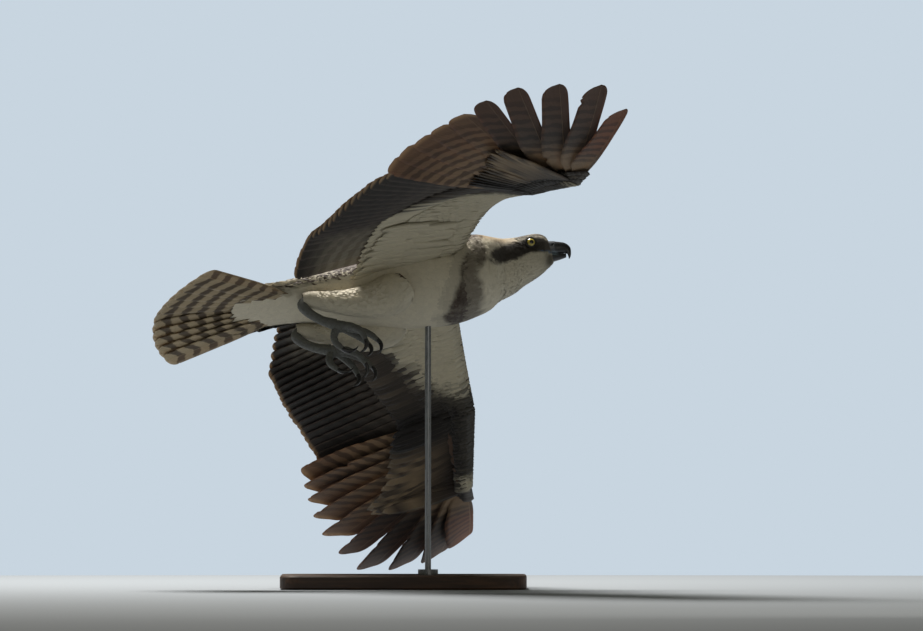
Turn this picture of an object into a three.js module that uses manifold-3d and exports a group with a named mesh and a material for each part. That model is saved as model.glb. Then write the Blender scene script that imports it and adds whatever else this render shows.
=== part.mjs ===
// Osprey in banked flight, life size, held on a plain display stand.
// Millimetres, +Z up, +X the way the bird flies, underside of the stand's base at Z = 0.

import * as THREE from 'three';
import { mergeVertices } from 'three/addons/utils/BufferGeometryUtils.js';
import Module from 'manifold-3d';

const wasm = await Module();
wasm.setup();

// Driving dimensions

const GAP = 0.3;                 // clearance between neighbouring pieces
const SPLIT = GAP / 2;           // half of the cut between two pieces of the body
const FAR = 900;                 // reach of a cutting block, larger than the bird
const BIRD = { at: [80, 10, 405], roll: -28, pitch: -10.5, yaw: 12 };
const HEAD = { at: [91.2, -3, 14.5], roll: -14, pitch: 0, yaw: 4 };
const CUTS = { tail: -232, neck: 45, head: -30 };

const ARM = 270;                 // shoulder to wrist
const HAND = 130;                // wrist to the end of the hand
const ARCH = 26;                 // rise of the bent arm between shoulder and wrist
const SHOULDER = [0, 50, 20];
const PRIMARIES = [305, 374, 392, 384, 343, 303, 278, 262, 252, 245];
const SECONDARIES = { count: 12, outer: 218, inner: 190 };
const TERTIALS = { count: 4, outer: 185, inner: 163 };
// Angles in degrees. trim and reach scale the inner and outer flight feathers, broad and
// fuller the rear and front widths of the outer ones, outermost adds length to the first ones.
const WINGS = {
  left: {
    side: 1,
    trim: 0.92, reach: 0.975, broad: 1.75, fuller: 1.3, outermost: [6, -8, -8],
    arm: { sweep: 7.7, rise: -13.4, twist: -9.3 },
    hand: { sweep: -2.8, rise: -24.6, twist: -9.4 },
    fan: { body: 80, elbow: 71, wrist: 57.2, tip: -11 },
    lift: { body: -9.8, wrist: 10.6, tip: 36 },
  },
  right: {
    side: -1,
    trim: 1, reach: 1, broad: 1.15, fuller: 1.1, outermost: [-14, 10, 0],
    arm: { sweep: 13.3, rise: -14.3, twist: -0.7 },
    hand: { sweep: 11.5, rise: -26.3, twist: -17 },
    fan: { body: 92.3, elbow: 78.1, wrist: 68.1, tip: 9.5 },
    lift: { body: -10.1, wrist: 0, tip: 9.5 },
  },
};

const TAIL = {
  pivot: [-205, 0, 13], length: 214, start: 18, halfFan: 33, yaw: -8.2, skew: 0.05,
  layer: 1.9, pairs: 6, apart: 0.35, shaft: 0.95,
};
const EYE = { at: [0, 22.2, 9], ball: 8.2, opening: 6.2, sunk: 5.0 };
const STAND = {
  length: 320, depth: 240, height: 18, corner: 26, bevel: 2, hole: 12,
  rod: 4, rodX: -50, belly: 52, socket: 42, collar: 13, collarHeight: 7,
};

// Small helpers

const rad = THREE.MathUtils.degToRad;
const lerp = THREE.MathUtils.lerp;
const smooth = (low, high, value) => THREE.MathUtils.smoothstep(value, low, high);
const vec = (x, y, z) => new THREE.Vector3(x, y, z);
const turn = (a) => new THREE.Quaternion().setFromEuler(
  new THREE.Euler(rad(a.roll), rad(a.pitch), rad(a.yaw), 'ZYX'));

function placed(attitude) {
  return new THREE.Matrix4().compose(vec(...attitude.at), turn(attitude), vec(1, 1, 1));
}

const birdMatrix = placed(BIRD);
const headTurn = turn(BIRD).invert().multiply(turn(HEAD));
const headMatrix = new THREE.Matrix4().compose(vec(...HEAD.at), headTurn, vec(1, 1, 1));

// Value of a table of rows at a place between them, along a smooth curve through the rows
function through(rows, place) {
  const last = rows.length - 1;
  const cell = Math.min(Math.max(Math.floor(place), 0), last - 1);
  const t = place - cell;
  const row = (i) => rows[Math.min(Math.max(i, 0), last)];
  return rows[cell].map((_, k) => {
    const [a, b, c, d] = [row(cell - 1)[k], row(cell)[k], row(cell + 1)[k], row(cell + 2)[k]];
    const slopeIn = (c - a) / 2;
    const slopeOut = (d - b) / 2;
    const cubic = 2 * b - 2 * c + slopeIn + slopeOut;
    const square = 3 * (c - b) - 2 * slopeIn - slopeOut;
    return ((cubic * t + square) * t + slopeIn) * t + b;
  });
}

// Straight lines between pairs of place and value
function between(pairs, place) {
  const at = pairs.findIndex(([key]) => key > place);
  if (at === 0) return pairs[0][1];
  if (at < 0) return pairs[pairs.length - 1][1];
  const [[k0, v0], [k1, v1]] = [pairs[at - 1], pairs[at]];
  return lerp(v0, v1, (place - k0) / (k1 - k0));
}

// Closed skin over rings of points. A flat ring runs along its upper face and back along
// its lower one, and both faces are split into triangles alike. A round ring ends in a fan.
function loft(rings, flat = false) {
  const count = rings[0].length;
  const points = rings.flat();
  const index = [];
  const quad = (a, b, c, d) => index.push(a, b, c, a, c, d);
  for (let r = 0; r + 1 < rings.length; r += 1) {
    for (let i = 0; i < count; i += 1) {
      const next = (i + 1) % count;
      const [a, b] = [r * count + i, r * count + next];
      const [c, d] = [b + count, a + count];
      if (flat && i >= count / 2) quad(b, c, d, a);
      else quad(a, b, c, d);
    }
  }
  const close = (start, reverse) => {
    const face = (a, b, c) => (reverse ? index.push(a, c, b) : index.push(a, b, c));
    if (flat) {
      for (let i = 0; i < count / 2 - 1; i += 1) {
        const [a, b] = [start + i, start + i + 1];
        const [c, d] = [start + count - 2 - i, start + count - 1 - i];
        face(a, d, c);
        face(a, c, b);
      }
      return;
    }
    const middle = points.slice(start, start + count)
      .reduce((sum, p) => sum.add(p), vec(0, 0, 0)).divideScalar(count);
    points.push(middle);
    for (let i = 0; i < count; i += 1) {
      face(points.length - 1, start + ((i + 1) % count), start + i);
    }
  };
  close(0, false);
  close((rings.length - 1) * count, true);
  const geometry = new THREE.BufferGeometry();
  geometry.setAttribute('position', new THREE.Float32BufferAttribute(
    points.flatMap((p) => [p.x, p.y, p.z]), 3));
  geometry.setIndex(index);
  return geometry;
}

// Volume inside a closed indexed surface, negative where it is inside out
function volume(position, index) {
  let sum = 0;
  const [a, b, c] = [vec(0, 0, 0), vec(0, 0, 0), vec(0, 0, 0)];
  for (let i = 0; i < index.count; i += 3) {
    a.fromBufferAttribute(position, index.getX(i));
    b.fromBufferAttribute(position, index.getX(i + 1));
    c.fromBufferAttribute(position, index.getX(i + 2));
    sum += a.dot(b.cross(c)) / 6;
  }
  return sum;
}

function solidOf(geometry, matrix = null) {
  const plain = geometry.clone();
  plain.deleteAttribute('normal');
  plain.deleteAttribute('uv');
  if (matrix) plain.applyMatrix4(matrix);
  const merged = mergeVertices(plain, 1e-4);
  const triangles = Uint32Array.from(merged.index.array);
  if (volume(merged.attributes.position, merged.index) < 0) triangles.reverse();
  return new wasm.Manifold(new wasm.Mesh({
    numProp: 3,
    vertProperties: Float32Array.from(merged.attributes.position.array),
    triVerts: triangles,
  }));
}

const SLIVER = 0.1;              // largest step that tidying a surface may smooth away

// The largest closed surface of a solid, tidied of slivers, as a geometry
function geometryOf(solid) {
  const bodies = solid.decompose();
  const size = (body) => Math.abs(body.volume());
  const largest = bodies.reduce((best, body) => (size(body) > size(best) ? body : best));
  const mesh = largest.asOriginal().simplify(SLIVER).getMesh();
  const geometry = new THREE.BufferGeometry();
  geometry.setAttribute('position', new THREE.Float32BufferAttribute(mesh.vertProperties, 3));
  geometry.setIndex(Array.from(mesh.triVerts));
  return geometry;
}

const joined = (solids) => solids.reduce((whole, piece) => whole.add(piece));

function block(low, high, matrix = null) {
  const [size, middle] = [vec(...high).sub(vec(...low)), vec(...high).add(vec(...low))];
  const box = new THREE.BoxGeometry(size.x, size.y, size.z);
  box.translate(middle.x / 2, middle.y / 2, middle.z / 2);
  return solidOf(box, matrix);
}

// Body, neck and head as one skin that is parted afterwards

// Rows of the trunk: X, middle Z, half width, rise above and depth below the middle
const TRUNK = [
  [-318, 11, 43, 2.5, 3],
  [-298, 11, 51, 4, 5],
  [-275, 11, 53, 7, 8],
  [-250, 11, 52, 12, 12],
  [-215, 12, 47, 20, 22],
  [-170, 8, 46, 27, 32],
  [-120, 2, 54, 40, 42],
  [-70, 0, 60, 48, 50],
  [-20, 0, 63, 50, 54],
  [22, 2, 59, 45, 54],
];
// Rows of the neck and head along the head's own axis, in the same order
const SKULL = [
  [-36, -20, 38, 38, 43],
  [-20, -13, 31, 33, 40],
  [-9, -9, 27, 31.5, 35],
  [2, -5, 25.2, 30, 32],
  [11, -2, 22, 27.5, 29],
  [18, 0, 17.5, 23.5, 25.5],
  [24, 0, 12.5, 18.5, 19.5],
  [28.5, -6, 8.5, 9, 10.5],
  [31, -9, 5, 3, 5],
];
const SIDES = 24;
const BLEND_ROWS = 2;            // rows of the neck over which the body turns into the head

// One ring across the body, slightly squarer than an ellipse
function ring(row, matrix, grow) {
  const [x, middle, half, up, down] = row;
  const points = [];
  for (let i = 0; i < SIDES; i += 1) {
    const angle = (2 * Math.PI * i) / SIDES;
    const [s, c] = [Math.sin(angle), Math.cos(angle)];
    const height = c > 0 ? up : down;
    const full = 1 + 0.05 * Math.sin(2 * angle) ** 2;
    points.push(vec(x, (half + grow) * s * full, middle + (height + grow) * c * full)
      .applyMatrix4(matrix));
  }
  return points;
}

// Skin of the whole body, swollen by grow for cutting what meets it
function bodySkin(grow) {
  const rings = [];
  const plain = new THREE.Matrix4();
  const trunkSteps = 2 * (TRUNK.length - 1);
  for (let i = 0; i <= trunkSteps; i += 1) rings.push(ring(through(TRUNK, i / 2), plain, grow));
  const startTurn = new THREE.Quaternion();
  const firstHead = through(SKULL, 0);
  const headStart = vec(firstHead[0], 0, 0).applyMatrix4(headMatrix);
  const trunkEnd = vec(TRUNK[TRUNK.length - 1][0], 0, 0);
  for (let i = 1; i <= BLEND_ROWS; i += 1) {
    const t = i / (BLEND_ROWS + 1);
    const at = trunkEnd.clone().lerp(headStart, t);
    const matrix = new THREE.Matrix4()
      .compose(at, startTurn.clone().slerp(headTurn, smooth(0, 1, t)), vec(1, 1, 1));
    const last = TRUNK[TRUNK.length - 1];
    const row = last.map((value, k) => lerp(value, firstHead[k], t));
    rings.push(ring([0, ...row.slice(1)], matrix, grow));
  }
  const headSteps = 2 * (SKULL.length - 1);
  for (let i = 0; i <= headSteps; i += 1) {
    rings.push(ring(through(SKULL, i / 2), headMatrix, grow));
  }
  return solidOf(loft(rings));
}

const inflatedBody = bodySkin(GAP + 0.05);

// Bill, in the head's frame: X, middle Z, half width, rise and depth of each row, and slope
const UPPER_BILL = [
  [20, 8, 8.6, 7.6, 10, 0],
  [28, 8.2, 8.1, 7.8, 10.2, 0],
  [36, 8, 6.8, 7.6, 10, 8],
  [43, 7.6, 5.4, 7, 9, 22],
  [48.3, 5, 3.8, 5.6, 6.8, 48],
  [50.8, 0.5, 2.4, 3.2, 2.6, 72],
  [51.6, -3.8, 1.3, 1.6, 1.4, 88],
  [51.2, -7, 0.35, 0.4, 0.4, 98],
];
const LOWER_BILL = [
  [21, -5.6, 7.6, 7, 6.4, 0],
  [29, -5.4, 6.8, 7, 6, 0],
  [36, -4.4, 5.4, 6, 5, 0],
  [42, -3.2, 4, 4.6, 4, 0],
  [46.8, -2.1, 2, 3, 2.2, 0],
];

function billSkin(rows, grow, sides) {
  const rings = [];
  const steps = 2 * (rows.length - 1);
  for (let k = 0; k <= steps; k += 1) {
    const [x, middle, half, up, down, slope] = through(rows, k / 2);
    const lean = rad(slope);
    const shift = (k === 0 ? -grow : 0) + (k === steps ? grow : 0);
    const points = [];
    for (let i = 0; i < sides; i += 1) {
      const angle = (2 * Math.PI * i) / sides;
      const [s, c] = [Math.sin(angle), Math.cos(angle)];
      const rise = (c > 0 ? up + grow : down + grow) * c;
      const along = shift + rise * Math.sin(lean);
      const height = middle + rise * Math.cos(lean);
      points.push(vec(x + along, (half + grow) * s, height));
    }
    rings.push(points);
  }
  return solidOf(loft(rings), headMatrix);
}

const BILL_SIDES = 10;
const MOUTH = { gap: 0.5, corner: 9, depth: 1.4, side: 16.6, length: 22, splay: 33 };
const BILL_TIP = { upper: 47.9, lower: 48.2 };   // X where the hook starts to reach down
const NOSTRIL = { size: [2.4, 1.6, 1], at: [29.5, 7.4, 10.4], slant: 35 };
const LID = { out: 1.1, tube: 1.5 };
const BROW = { size: [13, 3.2, 2.6], at: [3, 21.6, 17], slant: 6, splay: 17 };

function nostril(side) {
  const hole = new THREE.SphereGeometry(1, 8, 6);
  const [x, y, z] = NOSTRIL.at;
  hole.scale(...NOSTRIL.size);
  hole.rotateY(rad(-NOSTRIL.slant));
  hole.translate(x, side * y, z);
  return solidOf(hole, headMatrix);
}

function buildBill() {
  const reach = block([0, -30, -40], [80, 30, 0], headMatrix);
  const above = block([0, -30, -MOUTH.gap / 2], [BILL_TIP.lower, 30, 40], headMatrix);
  let upper = billSkin(UPPER_BILL, 0, BILL_SIDES);
  const under = block([0, -30, -40], [BILL_TIP.upper, 30, MOUTH.gap / 2], headMatrix);
  upper = upper.subtract(under);
  for (const side of [-1, 1]) upper = upper.subtract(nostril(side));
  const lower = billSkin(LOWER_BILL, 0, BILL_SIDES).intersect(reach).subtract(above)
    .subtract(billSkin(UPPER_BILL, GAP, BILL_SIDES).subtract(under));
  return { upper, lower };
}

// Eye: a ball sunk behind a round opening, with a raised lid round it
function eyeMatrix(side) {
  const [x, y, z] = EYE.at;
  const outward = vec(0.22, side, 0.1).normalize();
  const facing = new THREE.Quaternion().setFromUnitVectors(vec(0, 0, 1), outward);
  const centre = vec(x, side * y, z).addScaledVector(outward, -EYE.sunk);
  const inHead = new THREE.Matrix4().compose(centre, facing, vec(1, 1, 1));
  return headMatrix.clone().multiply(inHead);
}

function eyeball(side, grow) {
  const ball = new THREE.SphereGeometry(EYE.ball + grow, 14, 8);
  ball.rotateX(Math.PI / 2);
  return solidOf(ball, eyeMatrix(side));
}

function lidRing(side) {
  const lid = new THREE.TorusGeometry(EYE.opening + LID.out, LID.tube, 5, 14);
  lid.translate(0, 0, EYE.sunk - 0.2);
  return solidOf(lid, eyeMatrix(side));
}

// Everything in front of the lids, cleared so that the eye looks out
function eyeOpening(side) {
  const hole = new THREE.CylinderGeometry(EYE.opening + 0.9, EYE.opening, 6, 14);
  hole.rotateX(Math.PI / 2);
  hole.translate(0, 0, EYE.sunk + 2.9);
  return solidOf(hole, eyeMatrix(side));
}

// Brow that shades the eye, a low ridge from the lores to behind the eye
function brow(side) {
  const ridge = new THREE.SphereGeometry(1, 10, 6);
  const [x, y, z] = BROW.at;
  ridge.scale(...BROW.size);
  ridge.rotateY(rad(BROW.slant));
  ridge.rotateZ(rad(-side * BROW.splay));
  ridge.translate(x, side * y, z);
  return solidOf(ridge, headMatrix);
}

// The line of the mouth runs on from the bill to its corner below the eye
function mouthGroove(side) {
  const slot = new THREE.BoxGeometry(MOUTH.length, 6, MOUTH.gap);
  slot.rotateZ(rad(-side * MOUTH.splay));
  slot.translate(MOUTH.corner + 10, side * (MOUTH.side + 3 - MOUTH.depth), 0);
  return solidOf(slot, headMatrix);
}

// Trunk, neck, head and tail stem are cut apart by thin gaps
function buildBody(bill) {
  const whole = bodySkin(0);
  const torsoBlock = block([CUTS.tail + SPLIT, -FAR, -FAR], [CUTS.neck - SPLIT, FAR, FAR]);
  const tailBlock = block([-FAR, -FAR, -FAR], [CUTS.tail - SPLIT, FAR, FAR]);
  const frontBlock = block([CUTS.neck + SPLIT, -FAR, -FAR], [FAR, FAR, FAR]);
  const headBlock = block([CUTS.head + SPLIT, -FAR, -FAR], [FAR, FAR, FAR], headMatrix);
  const neckBlock = block([-FAR, -FAR, -FAR], [CUTS.head - SPLIT, FAR, FAR], headMatrix);
  let head = whole.intersect(headBlock);
  for (const side of [-1, 1]) {
    head = head.add(brow(side)).add(lidRing(side));
  }
  for (const side of [-1, 1]) {
    head = head.subtract(eyeball(side, GAP)).subtract(eyeOpening(side))
      .subtract(mouthGroove(side));
  }
  head = head.subtract(bill.socket);
  return {
    torso: whole.intersect(torsoBlock),
    neck: whole.intersect(frontBlock).intersect(neckBlock),
    head,
    stem: whole.intersect(tailBlock),
    tailBlock,
  };
}

// Flight feathers

// Half widths of a vane in front of and behind its shaft, by place along it from 0 to 1
const VANES = {
  finger: {
    front: [[0, 2], [0.1, 4], [0.3, 9], [0.5, 9], [0.64, 8], [0.9, 9], [0.975, 7], [1, 3]],
    back: [[0, 2], [0.1, 6], [0.3, 27], [0.5, 28], [0.64, 23], [0.9, 21], [0.975, 15], [1, 5]],
  },
  hand: {
    front: [[0, 2], [0.12, 6], [0.35, 15], [0.9, 16], [0.975, 11], [1, 4]],
    back: [[0, 2], [0.12, 8], [0.35, 27], [0.9, 26], [0.975, 17], [1, 6]],
  },
  arm: {
    front: [[0, 2], [0.12, 8], [0.35, 15], [0.93, 15], [1, 7]],
    back: [[0, 2], [0.12, 10], [0.35, 26], [0.93, 26], [1, 10]],
  },
  tail: {
    front: [[0, 2], [0.2, 9], [0.5, 17], [0.95, 20], [1, 13]],
    back: [[0, 2], [0.2, 9], [0.5, 20], [0.95, 22], [1, 15]],
  },
  handCovert: {
    front: [[0, 3], [0.35, 8], [0.8, 8], [1, 5]],
    back: [[0, 3], [0.35, 11], [0.8, 11], [1, 7]],
  },
  armCovert: {
    front: [[0, 4], [0.35, 12], [0.8, 12], [1, 8]],
    back: [[0, 4], [0.35, 14], [0.8, 14], [1, 9]],
  },
};
const STEPS = {
  finger: [0, 0.14, 0.35, 0.5, 0.64, 0.9, 0.975, 1],
  hand: [0, 0.14, 0.36, 0.62, 0.9, 0.975, 1],
  arm: [0, 0.14, 0.4, 0.93, 1],
  tail: [0, 0.25, 0.55, 0.95, 1],
  covert: [0, 0.45, 1],
};
const EDGE = 0.5;                // thickness of a vane at its edge
const SHAFT = 1.3;               // thickness at the shaft near the root
const SHAFT_TIP = 0.7;
const TILT = { hand: 9, arm: 7 };
const OUTER_EDGE = 0.55;         // share of the front width on the outermost primary

function armAxes({ sweep, rise }) {
  const [s, r] = [rad(sweep), rad(rise)];
  return vec(Math.sin(s) * Math.cos(r), Math.cos(s) * Math.cos(r), Math.sin(r));
}

// Leading edge: an arched arm up to the wrist at 1, then the straight hand up to 2
function edgePoint(wing, s) {
  const arm = armAxes(wing.arm);
  const shoulder = vec(...SHOULDER);
  if (s > 1) {
    return shoulder.addScaledVector(arm, ARM)
      .addScaledVector(armAxes(wing.hand), HAND * (s - 1));
  }
  return shoulder.addScaledVector(arm, ARM * s).add(vec(0, 0, ARCH * Math.sin(Math.PI * s)));
}

// Axes at a place along the wing: y outward, x forward, z up through the wing.
// bend is how far to each side of the wrist the arm turns into the hand.
function wingAxes(wing, s, bend) {
  const at = Math.min(s, 1);
  const along = edgePoint(wing, at).sub(edgePoint(wing, at - 0.02)).normalize();
  const y = along.lerp(armAxes(wing.hand), smooth(1 - bend, 1 + bend, s)).normalize();
  const sweep = Math.atan2(y.x, y.y);
  const level = vec(Math.cos(sweep), -Math.sin(sweep), 0);
  const up = level.clone().cross(y);
  const twist = rad(lerp(wing.arm.twist, wing.hand.twist, smooth(0.3, 1.5, s)));
  const x = level.multiplyScalar(Math.cos(twist)).addScaledVector(up, Math.sin(twist));
  return { x, y, z: x.clone().cross(y) };
}

const BLADE_BEND = 0.15;
const FAN_BEND = 0.35;
const ROOT_LINE = [[0, 96], [0.4, 92], [1, 18], [2, 9]];
// Places along the wing between which each kind of flight feather is rooted
const PLACES = { primaries: [1.06, 1.98], secondaries: [0.97, 0.4], tertials: [0.35, 0.1] };

// One flight feather of the wing as a shaft: root, direction, bend and length
function shaftAt(wing, s, fan, lift, length, curve) {
  const blade = wingAxes(wing, s, BLADE_BEND);
  const { x, y, z } = wingAxes(wing, s, FAN_BEND);
  const [a, l] = [rad(fan), rad(lift)];
  const flat = y.clone().multiplyScalar(Math.cos(a)).addScaledVector(x, -Math.sin(a));
  const aside = y.clone().multiplyScalar(-Math.sin(a)).addScaledVector(x, -Math.cos(a));
  return {
    root: edgePoint(wing, s).addScaledVector(blade.x, -between(ROOT_LINE, s)),
    along: flat.multiplyScalar(Math.cos(l)).addScaledVector(z, Math.sin(l)),
    bend: z.clone().multiplyScalar(curve.up).addScaledVector(aside, curve.aside),
    up: z,
    length,
    s,
  };
}

// Point at a distance from the root of a shaft
function shaftPoint(shaft, distance) {
  const t = distance / shaft.length;
  return shaft.root.clone().addScaledVector(shaft.along, distance)
    .addScaledVector(shaft.bend, shaft.length * t * t);
}

// All flight feathers of one wing, from the outermost primary in to the last tertial
function flightShafts(wing) {
  const { fan, lift } = wing;
  const shafts = [];
  PRIMARIES.forEach((length, i) => {
    const k = 1 - i / (PRIMARIES.length - 1);
    const [first, last] = PLACES.primaries;
    const longer = length * wing.reach + (wing.outermost[i] ?? 0);
    const shaft = shaftAt(wing, lerp(first, last, k), lerp(fan.wrist, fan.tip, k ** 1.1),
      lerp(lift.wrist, lift.tip, k), longer, { up: 0.02 + 0.05 * k, aside: 0.03 });
    const vane = i < 5 ? 'finger' : 'hand';
    const fuller = i === 0 ? OUTER_EDGE : wing.fuller;
    shafts.push({ ...shaft, part: 'hand', vane, broad: wing.broad, fuller, tilt: TILT.hand });
  });
  for (let j = 0; j < SECONDARIES.count; j += 1) {
    const t = j / (SECONDARIES.count - 1);
    const s = lerp(...PLACES.secondaries, t);
    const inward = (1 - s) / (1 - PLACES.secondaries[1]);
    const shaft = shaftAt(wing, s, lerp(fan.wrist, fan.elbow, 1 - (1 - inward) ** 2),
      lerp(lift.wrist, lift.body, smooth(0, 1, inward)),
      lerp(SECONDARIES.outer, SECONDARIES.inner * wing.trim, t),
      { up: 0.02 * (1 - t), aside: 0.03 * (1 - t) });
    shafts.push({ ...shaft, part: 'forearm', vane: 'arm', broad: 1, fuller: 1, tilt: TILT.arm });
  }
  for (let j = 0; j < TERTIALS.count; j += 1) {
    const t = j / (TERTIALS.count - 1);
    const turned = lerp(fan.elbow, fan.body, (t + 0.2) / 1.2);
    const shaft = shaftAt(wing, lerp(...PLACES.tertials, t), turned,
      lift.body, lerp(TERTIALS.outer, TERTIALS.inner, t) * wing.trim, { up: 0, aside: 0 });
    shafts.push({ ...shaft, part: 'upperarm', vane: 'arm', broad: 1, fuller: 1, tilt: TILT.arm });
  }
  return shafts;
}

// Axes of a vane at a distance out: t along the shaft, c towards the leading edge in the
// plane that the neighbouring shafts share, tipped up in front so that vanes lie in tiers
function vaneAxes(shafts, i, distance) {
  const here = shaftPoint(shafts[i], distance);
  const [ahead, behind] = [distance + 1, distance - 1].map((d) => shaftPoint(shafts[i], d));
  const t = ahead.sub(behind).normalize();
  const outer = shaftPoint(shafts[Math.max(i - 1, 0)], distance);
  const inner = shaftPoint(shafts[Math.min(i + 1, shafts.length - 1)], distance);
  const across = outer.sub(inner);
  const level = across.addScaledVector(t, -across.dot(t)).normalize();
  const up = level.clone().cross(t);
  if (up.dot(shafts[i].up) < 0) up.negate();
  const tilt = rad(shafts[i].tilt);
  return {
    here,
    t,
    c: level.clone().multiplyScalar(Math.cos(tilt)).addScaledVector(up, Math.sin(tilt)),
    n: up.clone().multiplyScalar(Math.cos(tilt)).addScaledVector(level, -Math.sin(tilt)),
  };
}

// Six points round a vane: leading edge, shaft and trailing edge above, then back below
function vaneRing(axes, front, back, thick, offset) {
  const { here, c, n } = axes;
  const point = (across, rise) => here.clone().addScaledVector(c, across)
    .addScaledVector(n, offset + rise);
  return [
    point(front, EDGE / 2), point(0, thick / 2), point(-back, EDGE / 2),
    point(-back, -EDGE / 2), point(0, -thick / 2), point(front, -EDGE / 2),
  ];
}

function flightVane(shafts, i) {
  const { length, vane, broad, fuller } = shafts[i];
  const rings = STEPS[vane].map((t) => vaneRing(
    vaneAxes(shafts, i, t * length), between(VANES[vane].front, t) * fuller,
    between(VANES[vane].back, t) * lerp(1, broad, smooth(0.3, 0.75, t)),
    lerp(SHAFT, SHAFT_TIP, t), 0));
  return loft(rings, true);
}

// Greater coverts lie on both faces over the first part of each flight feather.
// start and end are their distances from the flight feather's root, as shares of its length.
const COVERTS = {
  hand: {
    outline: 'handCovert',
    under: { start: 0.02, end: 0.36, base: -3, clear: -7.6 },
    upper: { start: 0.02, end: 0.34, base: 2.6, clear: 6.2 },
  },
  arm: {
    outline: 'armCovert',
    under: { start: -0.05, end: 0.42, base: -3, clear: -6.4 },
    upper: { start: -0.05, end: 0.38, base: 2.6, clear: 5.2 },
  },
};

function covertVane(shafts, i, face) {
  const { length } = shafts[i];
  const kind = COVERTS[shafts[i].part === 'hand' ? 'hand' : 'arm'];
  const tier = kind[face];
  const outline = VANES[kind.outline];
  const rings = STEPS.covert.map((t) => {
    const offset = lerp(tier.base, tier.clear, smooth(0, 0.4, t));
    const axes = vaneAxes(shafts, i, lerp(tier.start, tier.end, t) * length);
    const front = between(outline.front, t);
    const back = between(outline.back, t);
    const { here, c, n } = axes;
    const corner = (across, rise) => here.clone().addScaledVector(c, across)
      .addScaledVector(n, offset + rise);
    const half = EDGE * 0.6;
    return [corner(front, half), corner(-back, half), corner(-back, -half), corner(front, -half)];
  });
  return loft(rings, true);
}

// Wing blade: the fleshy arm and hand with their small feathers, a thick leading edge that
// thins to a blunt rear edge from which the flight feathers grow

// Place along the wing, chord, thickness at its fullest and height of the rear edge
const BLADE = [
  [-0.16, 122, 34, 11],
  [0, 126, 28, 10],
  [0.2, 124, 21, 9],
  [0.42, 114, 18, 9],
  [0.7, 84, 16, 9],
  [0.9, 56, 14, 8.5],
  [1.0, 47, 13, 8.5],
  [1.12, 44, 12, 8],
  [1.4, 40, 10.5, 7.5],
  [1.7, 34, 9, 7],
  [1.93, 26, 7.5, 6],
  [2.04, 14, 5, 4],
];
// Upper face from front to back, then the same places below, as shares of the chord, with the
// part that the fullest thickness and the rear edge take at each
const BLADE_PLACES = [
  [0, 0.1, 0], [0.05, 0.36, 0], [0.2, 0.5, 0], [0.5, 0.34, 0.18], [0.8, 0.1, 0.4], [1, 0, 0.42],
];

function bladeSection(wing, row, grow) {
  const [s, chord, full, rear] = row;
  const { x, z } = wingAxes(wing, s, BLADE_BEND);
  const edge = edgePoint(wing, s).addScaledVector(x, grow);
  const point = ([place, fullShare, rearShare], sign) => edge.clone()
    .addScaledVector(x, -place * (chord + 2 * grow))
    .addScaledVector(z, sign * (full * fullShare + rear * rearShare + grow)
      + BLADE_CAMBER * full * Math.sin(Math.PI * place));
  const upper = BLADE_PLACES.map((place) => point(place, 1));
  const lower = BLADE_PLACES.map((place) => point(place, -1)).reverse();
  return [...upper, ...lower];
}

function bladeBetween(wing, low, high, grow = 0) {
  const rows = BLADE.filter(([s]) => s > low && s < high);
  if (low > BLADE[0][0]) rows.unshift(bladeRow(low));
  if (high < BLADE[BLADE.length - 1][0]) rows.push(bladeRow(high));
  return solidOf(loft(rows.map((row) => bladeSection(wing, row, grow)), true));
}

function bladeRow(s) {
  return [s, ...[1, 2, 3].map((k) => between(BLADE.map((row) => [row[0], row[k]]), s))];
}

const BLADE_CAMBER = 0.08;
const PARTS = {
  upperarm: [BLADE[0][0], 0.375],
  forearm: [0.375, 1.015],
  hand: [1.015, BLADE[BLADE.length - 1][0]],
};
const ARM_SPLIT = (GAP + 0.04) / 2 / ARM;    // half of a cut, as a share of the arm
const NEIGHBOURS = { upperarm: ['forearm'], forearm: ['upperarm', 'hand'], hand: ['forearm'] };

// One part of a wing, built for the left side and mirrored over for the right one
function buildWingPart(wing, part, shafts, clear) {
  const [low, high] = PARTS[part];
  const split = part === 'hand' ? ARM_SPLIT * (ARM / HAND) : ARM_SPLIT;
  const blade = bladeBetween(wing, low + split, high - split);
  const pieces = [blade];
  shafts.forEach((shaft, i) => {
    if (shaft.part !== part) return;
    pieces.push(solidOf(flightVane(shafts, i)));
    pieces.push(solidOf(covertVane(shafts, i, 'under')));
    pieces.push(solidOf(covertVane(shafts, i, 'upper')));
  });
  let solid = joined(pieces);
  for (const name of NEIGHBOURS[part]) {
    const [from, to] = PARTS[name];
    solid = solid.subtract(bladeBetween(wing, from, to, GAP));
  }
  for (const other of clear) solid = solid.subtract(other);
  return solid;
}

// The three parts of a wing. Each later part is cut clear of the one before it.
function buildWing(wing) {
  const shafts = flightShafts(wing);
  const built = {};
  let clear = [inflatedBody];
  for (const part of Object.keys(PARTS)) {
    built[part] = buildWingPart(wing, part, shafts, clear);
    clear = [-GAP, GAP].map((rise) => solidOf(geometryOf(built[part]),
      new THREE.Matrix4().makeTranslation(0, 0, rise)));
  }
  return built;
}

// Mirror in the bird's middle plane, with the faces turned right way out again by solidOf
const MIRROR = new THREE.Matrix4().makeScale(1, -1, 1);

function mirrored(solid) {
  return solidOf(geometryOf(solid), MIRROR);
}

// Tail: six pairs of feathers, stacked flat with the middle pair on top
function tailShafts() {
  const shafts = [];
  for (let i = 0; i < TAIL.pairs; i += 1) {
    for (const side of [1, -1]) {
      const share = (i + TAIL.apart) / (TAIL.pairs - 1 + TAIL.apart);
      const angle = rad(side * TAIL.halfFan * share + TAIL.yaw);
      const layer = -TAIL.layer * (i + (side < 0 ? 0.5 : 0));
      shafts.push({ angle, side, layer, long: 1 - side * TAIL.skew / 2 * share ** 2 });
    }
  }
  return shafts;
}

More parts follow.
